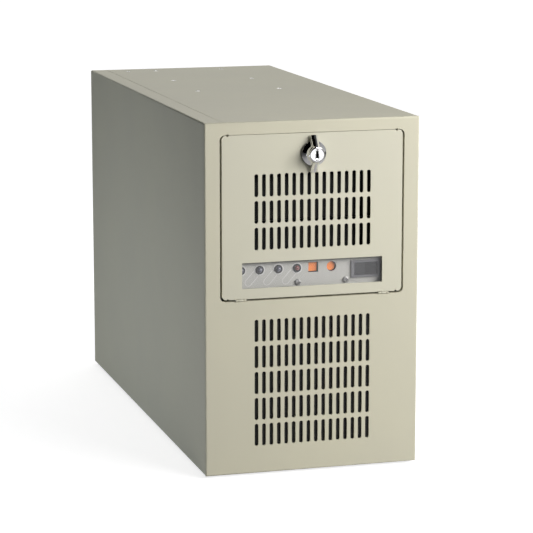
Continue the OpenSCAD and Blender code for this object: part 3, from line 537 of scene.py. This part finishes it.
def hoop(bm, centre, axis, radius, wire):
    """A ring of round wire of radius wire."""
    axis, side, other = side_axes(axis)
    around, section = 56, 8
    rings = []
    for k in range(around):
        angle = 2 * math.pi * k / around
        out = side * math.cos(angle) + other * math.sin(angle)
        middle = centre + out * radius
        ring = []
        for j in range(section):
            turn = 2 * math.pi * j / section
            ring.append(bm.verts.new(middle + (out * math.cos(turn) + axis * math.sin(turn)) * wire))
        rings.append(ring)
    for k in range(around):
        bridge(bm, rings[k], rings[(k + 1) % around])


def wire_rod(bm, start, end, wire):
    """A straight round wire of radius wire, with bevelled ends."""
    start, end = Vector(start), Vector(end)
    span = (end - start).length
    nose = wire * 0.5
    profile = [(0, 0), (wire - nose, 0), (wire, nose)]
    profile += [(wire, span - nose), (wire - nose, span), (0, span)]
    lathe(bm, start, end - start, profile, 10)


def fillet(radius, height, round_r):
    """Profile points from a flat top's edge round to a wall, both seen from outside."""
    steps = 4
    points = []
    for k in range(steps + 1):
        angle = math.pi / 2 * (1 - k / steps)
        across, up = round_r * math.cos(angle), round_r * math.sin(angle)
        points.append((radius - round_r + across, height - round_r + up))
    return points


def cross_head(bm, base, axis, radius, rise, shank_r, shank_l, dome=0.45):
    """A screw whose head stands on base, with a cross recess and a plain shank behind it."""
    axis, side, other = side_axes(axis)
    rings, spokes = 13, 60
    arm_half, arm_wall = 0.17, 0.06
    arm_end, end_wall = 0.66, 0.2
    recess = 0.65
    shank = [(shank_r, 0), (shank_r, shank_l * 0.9), (shank_r * 0.6, shank_l), (0, shank_l)]
    lathe(bm, base, -axis, shank, 16)
    last = [bm.verts.new(Vector(base) + axis * rise * (1 - recess))]
    for k in range(1, rings + 1):
        share = k / rings
        ring = []
        for j in range(spokes):
            angle = 2 * math.pi * j / spokes
            u, v = share * math.cos(angle), share * math.sin(angle)
            across, along = min(abs(u), abs(v)), max(abs(u), abs(v))
            cut = clamp((arm_half - across) / arm_wall) * clamp((arm_end - along) / end_wall)
            height = rise * (1 - dome * share**4 - recess * cut)
            ring.append(bm.verts.new(Vector(base) + (side * u + other * v) * radius + axis * height))
        bridge(bm, last, ring)
        last = ring
    foot = []
    for j in range(spokes):
        angle = 2 * math.pi * j / spokes
        out = side * math.cos(angle) + other * math.sin(angle)
        foot.append(bm.verts.new(Vector(base) + out * radius))
    bridge(bm, last, foot)
    bridge(bm, foot, [bm.verts.new(Vector(base))])


def add_piece(name, bm, body, slot, mats=None, replaced=(), smooth=38.0):
    """Make a piece of the mesh, on a body, in the finishes given, else in the finish of a record slot."""
    bmesh.ops.recalc_face_normals(bm, faces=bm.faces)
    mesh = bpy.data.meshes.new(name)
    bm.to_mesh(mesh)
    bm.free()
    mesh.shade_smooth()
    mesh.set_sharp_from_angle(angle=math.radians(smooth))
    for mat in mats or [materials[slot]]:
        mesh.materials.append(mat)
    obj = bpy.data.objects.new(name, mesh)
    bpy.context.collection.objects.link(obj)
    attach(obj, body)
    if replaced:
        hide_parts(*replaced)


# ---- Lock ----


def bar_reach(angle, half_width, half_length):
    """Distance from the middle of a bar along Z to its edge at this angle from Z."""
    across, along = abs(math.sin(angle)), abs(math.cos(angle))
    return min(half_width / max(across, NEVER_ZERO), half_length / max(along, NEVER_ZERO))


def ridge_reach(angle, half_width, half_length, crest, slant):
    """The same for a bar whose half width narrows by slant for each unit of length, to crest."""
    across, along = abs(math.sin(angle)), abs(math.cos(angle))
    taper = (crest + slant * half_length) / max(across + slant * along, NEVER_ZERO)
    return min(bar_reach(angle, half_width, half_length), taper)


def blended(a, b, power):
    """The larger of two reaches, with a soft corner where they cross."""
    return (a**power + b**power) ** (1 / power)


def add_lock_knob():
    """A tapered chrome knob with a sloping wing above and below it, and a keyway in its face."""
    low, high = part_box("lock_knob")
    axis_at = joint_at("lock_turn")
    gap_to_door = 2.6 * MM
    face, back = low.y, axis_at.y - gap_to_door
    depth = back - face
    face_r, face_taper, flare = 7.0 * MM, 0.5 * MM, 3.8 * MM
    face_tip, tip = 6.2 * MM, (high.z - low.z) / 2
    wing_half, crest_half, crest_spread, crest_slant = 3.2 * MM, 1.0 * MM, 2.2 * MM, 0.6
    flare_start, slope_end = 0.68, 0.78
    key_r, key_half, key_reach = 1.55 * MM, 1.1 * MM, 3.3 * MM
    key_depth, key_edge = 3 * MM, 0.1 * MM
    neck, neck_depth = 7.6 * MM, 1 * MM
    shaft_r, spindle_r, spindle = 6 * MM, 3 * MM, 4 * MM
    count = 192
    bm = bmesh.new()

    def centre(y):
        return bm.verts.new((axis_at.x, y, axis_at.z))

    def ring(share, reach_of, y):
        points = []
        for k in range(count):
            angle = 2 * math.pi * k / count
            reach = reach_of(angle) * share
            x, z = axis_at.x + reach * math.sin(angle), axis_at.z + reach * math.cos(angle)
            points.append(bm.verts.new((x, y, z)))
        return points

    def keyway(angle):
        return blended(bar_reach(angle, key_half, key_reach), key_r, 8)

    def section(at):
        """Outline of the knob at a share of the way from its face to its back."""
        disc = face_r + face_taper * at + flare * clamp((at - flare_start) / (1 - flare_start)) ** 1.3
        length = face_tip + (tip - face_tip) * clamp(at / slope_end)
        crest = crest_half + crest_spread * clamp((at - slope_end) / (1 - slope_end))
        return lambda angle: blended(
            disc, ridge_reach(angle, wing_half, length, crest, crest_slant), 14
        )

    # The keyway's floor and walls take the second finish, black: painted shade, standing in for the dark
    # depth of a keyway.
    hole = ring(1.0, keyway, face + key_depth)
    bridge(bm, [centre(face + key_depth)], hole, 1)
    last = ring(1.0, keyway, face + key_edge)
    bridge(bm, hole, last, 1)
    rim = [(0.0, 0.5), (0.0, 0.8), (0.0, 0.9), (0.008, 0.955), (0.03, 0.985)]
    wall = (0.08, 0.16, 0.25, 0.35, 0.45, 0.55, 0.65, 0.7, 0.74, 0.78, 0.83, 0.88, 0.94, 0.99)
    for at, share in [*rim, *[(at, 1.0) for at in wall], (1.0, 0.99)]:
        outline = ring(share, section(at), face + depth * at)
        bridge(bm, last, outline)
        last = outline
    neck_end = back + neck_depth
    foot = ring(1.0, lambda angle: neck, back)
    bridge(bm, last, foot)
    collar = ring(1.0, lambda angle: neck, neck_end)
    bridge(bm, foot, collar)
    bridge(bm, collar, [centre(neck_end)])
    shaft = high.y - neck_end
    profile = [(shaft_r, 0), (shaft_r, shaft - spindle), (spindle_r, shaft - spindle)]
    profile += [(spindle_r, shaft), (0, shaft)]
    lathe(bm, (axis_at.x, neck_end, axis_at.z), REARWARD, profile)
    # The black second finish is the keyway's painted shade.
    mats = [materials["lock_chrome"], materials["bezel_black"]]
    add_piece("lock_wing_knob", bm, "lock", "lock_chrome", mats, ["lock_knob"], 30.0)


# ---- Control panel ----


def stadium(bm, centre, length, radius, angle, band, y_back, y_front):
    """A raised band round a long slot shape that lies in the XZ plane."""
    steps = 14
    inner = radius - band
    loops = []
    for reach, y in ((radius, y_back), (radius, y_front), (inner, y_front), (inner, y_back)):
        loop = []
        for end in (1, -1):
            for k in range(steps + 1):
                turn = math.pi * (k / steps - 0.5) + (0 if end > 0 else math.pi)
                u = end * length / 2 + reach * math.cos(turn)
                v = reach * math.sin(turn)
                x = centre[0] + u * math.cos(angle) - v * math.sin(angle)
                z = centre[1] + u * math.sin(angle) + v * math.cos(angle)
                loop.append(bm.verts.new((x, y, z)))
        loops.append(loop)
    for k in range(4):
        bridge(bm, loops[k], loops[(k + 1) % 4])


def add_panel_print():
    """Printed rings round the lamps, each with a slanting label outline below it."""
    bm = bmesh.new()
    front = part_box("control_panel")[0].y
    ink = 0.12 * MM
    inner, outer = 3.85 * MM, 5 * MM
    label_left, label_down = 7.3 * MM, 7.6 * MM
    label_length, label_r, label_band = 9.5 * MM, 3.4 * MM, 0.6 * MM
    slant = math.radians(48)
    for low, high in islands("lamp_bezels"):
        x, z = (low.x + high.x) / 2, (low.z + high.z) / 2
        lathe(bm, (x, front, z), FORWARD, [(inner, 0), (inner, ink), (outer, ink), (outer, 0)], 48)
        label_at = (x - label_left, z - label_down)
        stadium(bm, label_at, label_length, label_r, slant, label_band, front, front - ink)
    ink_mat = moulded("panel_ink", (0.62, 0.62, 0.6), 0.5)
    add_piece("panel_outlines", bm, "chassis", "panel_paint", [ink_mat])


# ---- Screws ----


def boxed_screw(bm, low, high, axis, head, shank_r, dome=0.45):
    """A screw that fills a CAD box, with a head this high at the end that axis points to."""
    axis = Vector(axis)
    half = (high - low) / 2
    reach = abs(half.dot(axis))
    radius = half.x if axis.z else half.z
    base = (low + high) / 2 + axis * (reach - head)
    cross_head(bm, base, axis, radius, head, shank_r, 2 * reach - head, dome)


def add_roof_screws():
    """Shallow domed screws in the roof."""
    bm = bmesh.new()
    for low, high in islands("roof_screws"):
        boxed_screw(bm, low, high, UPWARD, 0.6 * MM, 1.5 * MM, 0.25)
    add_piece("roof_screw_set", bm, "chassis", "screw_steel", None, ["roof_screws"])


def add_board_screws():
    """Screws of the main board, whose heads face -X, and of the control panel, which face -Y."""
    bm = bmesh.new()
    panel_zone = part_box("control_board")[1].y + 4 * MM
    for low, high in islands("board_screws"):
        axis = FORWARD if high.y < panel_zone else LEFTWARD
        boxed_screw(bm, low, high, axis, 1.8 * MM, 1.5 * MM)
    # A darker copy of the screw steel: painted shade, for the shade of the control panel's countersunk
    # holes. The main board's screws take it too.
    shade_darkened_steel = nickel("shade_darkened_screw_steel", (0.42, 0.42, 0.41), 0.5)
    add_piece("board_screw_set", bm, "chassis", "screw_steel", [shade_darkened_steel], ["board_screws"])


def add_rear_screws():
    """Screws of the slot covers, whose heads face -X, and of the power supply, which face +Y."""
    bm = bmesh.new()
    supply_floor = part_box("psu_case")[0].z
    for low, high in islands("rear_screws"):
        axis = LEFTWARD if high.z < supply_floor else REARWARD
        boxed_screw(bm, low, high, axis, 2.2 * MM, 1.6 * MM)
    add_piece("rear_screw_set", bm, "chassis", "screw_steel", None, ["rear_screws"])


def add_thumbscrew(node):
    """A captive screw with a knurled head that has a round recess in its end."""
    low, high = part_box(node)
    x, z = (low.x + high.x) / 2, (low.z + high.z) / 2
    head_h, head_r, edge = 8.2 * MM, (high.x - low.x) / 2, 0.7 * MM
    shank_r, washer_r, washer_h = 1.75 * MM, 4 * MM, 1.2 * MM
    socket_r, socket_depth, dish = 1.7 * MM, 1.6 * MM, 0.25 * MM
    foot = high.y - head_h
    washer_at = foot - washer_h
    bm = bmesh.new()
    shank = [(0, 0), (1.3 * MM, 0), (shank_r, 0.5 * MM), (shank_r, washer_at - low.y)]
    lathe(bm, (x, low.y, z), REARWARD, shank, 24)
    washer = [(shank_r, 0), (washer_r, 0), (washer_r, washer_h)]
    lathe(bm, (x, washer_at, z), REARWARD, washer, 32)

    def knurl(angle):
        return 1 - 0.035 * abs(math.sin(angle * 15)) ** 0.7

    rim = fillet(head_r, head_h, 0.9 * MM)[::-1]
    grip = [(3.9 * MM, 0), (head_r - edge, 0), (head_r, edge)] + rim
    lathe(bm, (x, foot, z), REARWARD, grip, 120, knurl)
    top = rim[-1][0]
    end = [(top, head_h), (top - 0.5 * MM, head_h - dish), (socket_r, head_h - dish)]
    end += [(socket_r, head_h - socket_depth), (0, head_h - socket_depth)]
    lathe(bm, (x, foot, z), REARWARD, end, 48)
    add_piece(node + "_knurled", bm, node, "screw_steel", None, [node], 28.0)


# ---- Fans ----


def add_rotor(node, joint):
    """A hub with seven swept, cambered blades."""
    low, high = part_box(node)
    spans = high - low
    thin = min(range(3), key=lambda i: spans[i])
    axis, side, other = side_axes([1.0 if i == thin else 0.0 for i in range(3)])
    centre = joint_at(joint)
    radius = sorted(spans)[2] / 2
    depth = spans[thin]
    base = centre + axis * (low[thin] - centre[thin])
    hub = radius * 0.385
    lip, wall, boss_r = 0.4 * MM, 1.5 * MM, 1.6 * MM
    bm = bmesh.new()
    front = [(0, 0), (hub * 0.2, 0), (hub * 0.24, lip), (hub * 0.8, lip), (hub * 0.84, 0)]
    rim = [(hub - 1.2 * MM, 0), (hub - lip, lip), (hub, 1.2 * MM), (hub, depth)]
    inside = [(hub - wall, depth), (hub - wall, depth * 0.5), (boss_r, depth * 0.5)]
    lathe(bm, base, axis, front + rim + inside, 64)
    blades, along, chord_steps = 7, 9, 8
    root, reach_span = hub - 0.6 * MM, radius - hub + 0.4 * MM
    sweep, pitch, pitch_loss, camber, half_wall = 0.28, 0.82, 0.22, 0.07, 0.65 * MM

    def blade_point(start, t, s, skin):
        """A point at a share t of the way out and s along the chord, on one skin of a blade."""
        reach = root + reach_span * t
        chord = (0.62 + 0.1 * t) * (hub / reach) ** 0.45
        angle = start + sweep * t * t + s * chord * 1.25
        lift = depth * (0.5 + s * (pitch - pitch_loss * t)) + depth * camber * (1 - 4 * s * s)
        thick = half_wall * (1 - 1.4 * abs(s) ** 2.2)
        out = side * math.cos(angle) + other * math.sin(angle)
        return bm.verts.new(base + axis * (lift + skin * thick) + out * reach)

    for blade in range(blades):
        start = 2 * math.pi * blade / blades
        rims = []
        for skin in (-1, 1):
            grid = [
                [blade_point(start, i / along, j / chord_steps - 0.5, skin) for j in range(chord_steps + 1)]
                for i in range(along + 1)
            ]
            for a, b in zip(grid, grid[1:]):
                for j in range(chord_steps):
                    bm.faces.new((a[j], a[j + 1], b[j + 1], b[j]))
            lead, trail = [row[0] for row in grid], [row[-1] for row in grid[:-1]]
            rims.append(lead + grid[-1][1:] + trail[::-1] + grid[0][1:-1][::-1])
        bridge(bm, rims[0], rims[1])
    add_piece(node + "_bladed", bm, node, "fan_black", None, [node], 45.0)


def add_fan_grille():
    """The power supply's guard of round wire."""
    low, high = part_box("psu_fan_guard")
    centre = joint_at("psu_fan_spin")
    wire = (high.y - low.y) / 2
    middle = Vector((centre.x, low.y + wire, centre.z))
    boss_r, ring_r, ring_step, spoke_end = 4 * MM, 9 * MM, 7 * MM, 43 * MM
    bm = bmesh.new()
    for k in range(5):
        hoop(bm, middle, REARWARD, ring_r + ring_step * k, wire)
    for turn, start, end in ((45, ring_r - 0.4 * MM, spoke_end), (0, 3 * MM, ring_r)):
        for k in range(4):
            angle = math.radians(turn + 90 * k)
            out = Vector((math.cos(angle), 0, math.sin(angle)))
            wire_rod(bm, middle + out * start, middle + out * end, wire * 0.98)
    boss = [(0, 0), (boss_r, 0), (boss_r, wire), (boss_r - 0.4 * MM, wire * 1.6), (0, wire * 1.7)]
    lathe(bm, (centre.x, low.y, centre.z), REARWARD, boss)
    add_piece("psu_wire_grille", bm, "chassis", "screw_steel", None, ["psu_fan_guard"])


# ---- Rear ports ----

PORT_WALL = 2.3 * MM
PORT_DEPTH = 8 * MM


def fill_pin_port(plastic, metal, low, high):
    """A block with two rows of pins, and a nut at each end."""
    x, z = (low.x + high.x) / 2, (low.z + high.z) / 2
    mouth = high.y
    face = mouth - 5 * MM
    bottom, top = low.z + PORT_WALL, high.z - PORT_WALL
    near = (low.x + PORT_WALL, mouth - PORT_DEPTH, bottom)
    block(plastic, near, (high.x - PORT_WALL, face, top), 0.8 * MM)
    pitch, pin_r, pin_length = 2.7 * MM, 0.45 * MM, 3.4 * MM
    rows = int((top - bottom) / pitch)
    for k in range(rows):
        for side in (-1, 1):
            pin_z = z + (k - (rows - 1) / 2) * pitch
            pin = Vector((x + side * 1.4 * MM, face - 0.2 * MM, pin_z))
            wire_rod(metal, pin, pin + Vector((0, pin_length, 0)), pin_r)
    nut_r, nut_h = 1.1 * MM, 0.5 * MM
    for side in (-1, 1):
        nut = (x, mouth - 0.2 * MM, z + side * ((high.z - low.z) / 2 - 1.2 * MM))
        lathe(metal, nut, REARWARD, [(0, 0), (nut_r, 0), (nut_r, nut_h), (0, nut_h)], 6)


def fill_jack_port(plastic, low, high):
    """Three round jacks side by side."""
    hole_r, hole_floor, ring_r, ring_h = 1.8 * MM, 1 * MM, 4.2 * MM, 7.6 * MM
    bevel_r, bevel_h = 3.9 * MM, 7 * MM
    profile = [(0, hole_floor), (hole_r, hole_floor), (hole_r, ring_h)]
    profile += [(bevel_r, ring_h), (ring_r, bevel_h), (ring_r, 0)]
    for k in range(3):
        x = low.x + (high.x - low.x) * (k + 0.5) / 3
        lathe(plastic, (x, high.y - PORT_DEPTH, (low.z + high.z) / 2), REARWARD, profile, 32)


def fill_tongue_port(plastic, metal, low, high):
    """Two tongues, one above the other, with four contacts on each."""
    left, right = low.x + PORT_WALL, high.x - PORT_WALL
    mouth = high.y
    end_gap, tongue_half, contact_half, contact_top = 0.6 * MM, 0.8 * MM, 0.5 * MM, 1 * MM
    for side in (-1, 1):
        z = (low.z + high.z) / 2 + side * 3 * MM
        near = (left + end_gap, mouth - PORT_DEPTH, z - tongue_half)
        far = (right - end_gap, mouth - 1.2 * MM, z + tongue_half)
        block(plastic, near, far, 0.2 * MM)
        for k in range(4):
            x = left + 3 * MM + (right - left - 6 * MM) * k / 3
            near = (x - contact_half, mouth - 7 * MM, z + 0.75 * MM)
            block(metal, near, (x + contact_half, mouth - 2 * MM, z + contact_top), 0.05 * MM)


def add_port_details():
    """What fills each port's recess, by the port's height and width."""
    pin_port_height, jack_port_width = 25 * MM, 33 * MM
    plastic, metal = bmesh.new(), bmesh.new()
    for low, high in islands("io_ports"):
        if high.z - low.z > pin_port_height:
            fill_pin_port(plastic, metal, low, high)
        elif high.x - low.x > jack_port_width:
            fill_jack_port(plastic, low, high)
        else:
            fill_tongue_port(plastic, metal, low, high)
    add_piece("port_inserts", plastic, "chassis", "switch_black")
    add_piece("port_contacts", metal, "chassis", "port_metal", [materials["standoff_brass"]])


# ---- Main board ----


def add_board_parts():
    """Chips, capacitors, coils, headers and a coin cell on the main board's face."""
    low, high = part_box("mainboard")
    board_thickness = 1.6 * MM
    face = high.x - board_thickness
    rear, base = high.y, low.z
    chips, cans, plugs = bmesh.new(), bmesh.new(), bmesh.new()

    def lump(bm, y, z, wide, tall, thick, bevel, material=0):
        """A block that stands on the board's face."""
        near = (face - thick, y - wide / 2, z - tall / 2)
        block(bm, near, (face, y + wide / 2, z + tall / 2), bevel, material)

    def chip(y, z, wide, tall, thick, bevel=0.3 * MM):
        """A black block."""
        lump(chips, y, z, wide, tall, thick, bevel)

    def can(y, z, radius, tall):
        """A capacitor: a dark sleeve with a bright, crimped top."""
        crimp_r, crimp = radius * 0.86, tall - 0.3 * MM
        sleeve = [(radius * 0.9, 0), (radius, 0.4 * MM), (radius, tall - 0.8 * MM)]
        sleeve += [(radius * 0.94, crimp), (crimp_r, crimp)]
        lathe(cans, (face, y, z), LEFTWARD, sleeve, 24, None, 1)
        lathe(cans, (face, y, z), LEFTWARD, [(crimp_r, crimp), (radius * 0.8, tall), (0, tall)], 24)

    # Capacitors and coils round the processor's cooler.
    cooler_low, cooler_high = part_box("cpu_heatsink")
    column = (cooler_high.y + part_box("io_ports")[0].y) / 2
    can_r, can_tall, can_pitch = 4 * MM, 12 * MM, 10.5 * MM
    for k in range(9):
        z = cooler_low.z + can_pitch * k
        can(column + 4 * MM, z, can_r, can_tall)
        lump(chips, column - 4.8 * MM, z, 8.4 * MM, 8.8 * MM, 8 * MM, 1.2 * MM)
    for k in range(7):
        can(cooler_low.y + 6 * MM + can_pitch * k, cooler_high.z + 12 * MM, can_r, can_tall)

    # Small parts beside the memory.
    memory_low, memory_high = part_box("memory_module")
    for k in range(6):
        z = memory_low.z + 22 * k * MM
        can(memory_high.y + 12 * MM, z + 12 * MM, 3.2 * MM, 9 * MM)
        chip(memory_high.y + 24 * MM, z + 14 * MM, 5 * MM, 4 * MM, 1.5 * MM)

    # Two large chips, then small parts in line with the card sockets.
    chip(rear - 199 * MM, base + 120 * MM, 31 * MM, 31 * MM, 3 * MM, 0.6 * MM)
    chip(rear - 195 * MM, base + 62 * MM, 20 * MM, 20 * MM, 2.8 * MM, 0.5 * MM)
    for k in range(5):
        z = base + 25 * k * MM
        chip(rear - (18 + 2 * (k % 2)) * MM, z + 18 * MM, 9 * MM, 9 * MM, 1.6 * MM)
        can(rear - 34 * MM, z + 24 * MM, 3 * MM, 7 * MM)
        for j in range(4):
            chip(rear - (152 + 6 * j) * MM, z + 16 * MM, 3.2 * MM, 1.8 * MM, 0.9 * MM, 0.1 * MM)

    # Drive data sockets in two stacks, and pin headers along the lower edge.
    for k in range(6):
        y, z = rear - (232 - 14 * (k // 3)) * MM, base + (78 + 9 * (k % 3)) * MM
        lump(plugs, y, z, 10 * MM, 6 * MM, 9 * MM, 0.4 * MM)
    header_z, pin_pitch, pin_length = base + 4.9 * MM, 2.54 * MM, 8.5 * MM
    for k in range(4):
        y = rear - (60 + 34 * k) * MM
        lump(plugs, y, header_z, 22 * MM, 5 * MM, 2.6 * MM, 0.2 * MM, 1)
        for j in range(8):
            for side in (-1, 1):
                pin = Vector((face, y + (j - 3.5) * pin_pitch, header_z + side * pin_pitch / 2))
                wire_rod(cans, pin, pin - Vector((pin_length, 0, 0)), 0.3 * MM)

    # The coin cell, then the supply's socket.
    cell_r, cell_h = 10 * MM, 3.3 * MM
    cell = [(cell_r, 0), (cell_r, 2.6 * MM), (9.6 * MM, 3.2 * MM), (8.4 * MM, cell_h), (0, cell_h)]
    lathe(cans, (face, rear - 176 * MM, base + 40 * MM), LEFTWARD, cell, 48)
    socket_low, socket_high, socket_y = base + 171 * MM, base + 223 * MM, low.y + 22.8 * MM
    for k in range(12):
        z = socket_low + (socket_high - socket_low) * (k + 0.5) / 12
        for side in (-1, 1):
            y = socket_y + side * 2.2 * MM
            near = (face - 13 * MM, y - 1.9 * MM, z - 1.8 * MM)
            block(plugs, near, (face - 1 * MM, y + 1.9 * MM, z + 1.8 * MM), 0.3 * MM)

    add_piece("board_chips", chips, "chassis", "bezel_black")
    can_mats = [materials["disk_metal"], materials["switch_black"]]
    add_piece("board_cans", cans, "chassis", "disk_metal", can_mats)
    plug_mats = [materials["socket_plastic"], materials["bezel_black"]]
    add_piece("board_plugs", plugs, "chassis", "socket_plastic", plug_mats)


def add_memory_chips():
    """Chips that wrap both sides of the memory module, and its socket's dark body."""
    low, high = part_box("memory_module")
    middle = (low.y + high.y) / 2
    skin = 0.1 * MM
    chip_near, chip_far = 4 * MM, 18 * MM
    chip_half, chip_length, chip_pitch = 2 * MM, 11 * MM, 15.6 * MM
    socket_height = 9 * MM
    bm = bmesh.new()
    for k in range(8):
        z = low.z + 10 * MM + chip_pitch * k
        near = (low.x + chip_near - skin, middle - chip_half, z - skin)
        far = (low.x + chip_far + skin, middle + chip_half, z + chip_length + skin)
        block(bm, near, far, 0.2 * MM)
    near = (high.x - socket_height - skin, low.y - skin, low.z - skin)
    block(bm, near, (high.x, high.y + skin, high.z + skin), 0.4 * MM)
    add_piece("memory_chips", bm, "chassis", "bezel_black")


# ---- The scene, with places and sizes in metres and light in watts ----

materials = {slot: make(slot) for slot, make in MATERIALS.items()}
add_camera()
bpy.context.scene.view_settings.view_transform = "Standard"
add_world()
add_floor()
area_light(
    "key", place=(0.62, -0.95, 0.62), aim=(0.0, -0.24, 0.28), size=(0.9, 0.4), power=14.6,
    tint=(1.0, 0.98, 0.99),
)
area_light("rear_box", place=(0.1, 1.1, 1.0), aim=(0.0, 0.0, 0.3), size=(1.0, 0.6), power=6.0)
area_light(
    "low_card", place=(-0.62, 0.05, 0.05), aim=(-0.1, 0.05, 0.08), size=(0.7, 0.05), power=1.22,
    tint=(0.9, 0.96, 1.1),
)
area_light("front_card", place=(0.34, -1.45, 0.1), aim=(0.0, -0.25, 0.29), size=(0.5, 0.16), power=0.32)
finish_cad_nodes()
for width, names in EDGE_ROUNDING_MM.items():
    for node in names:
        soften(nodes[node], width * MM)
add_lock_knob()
add_panel_print()
add_roof_screws()
add_board_screws()
add_rear_screws()
for node in ("thumbscrew_upper", "thumbscrew_lower"):
    add_thumbscrew(node)
for fan in ("front_fan", "cpu_fan", "psu_fan"):
    add_rotor(fan + "_rotor", fan + "_spin")
add_fan_grille()
add_port_details()
add_board_parts()
add_memory_chips()
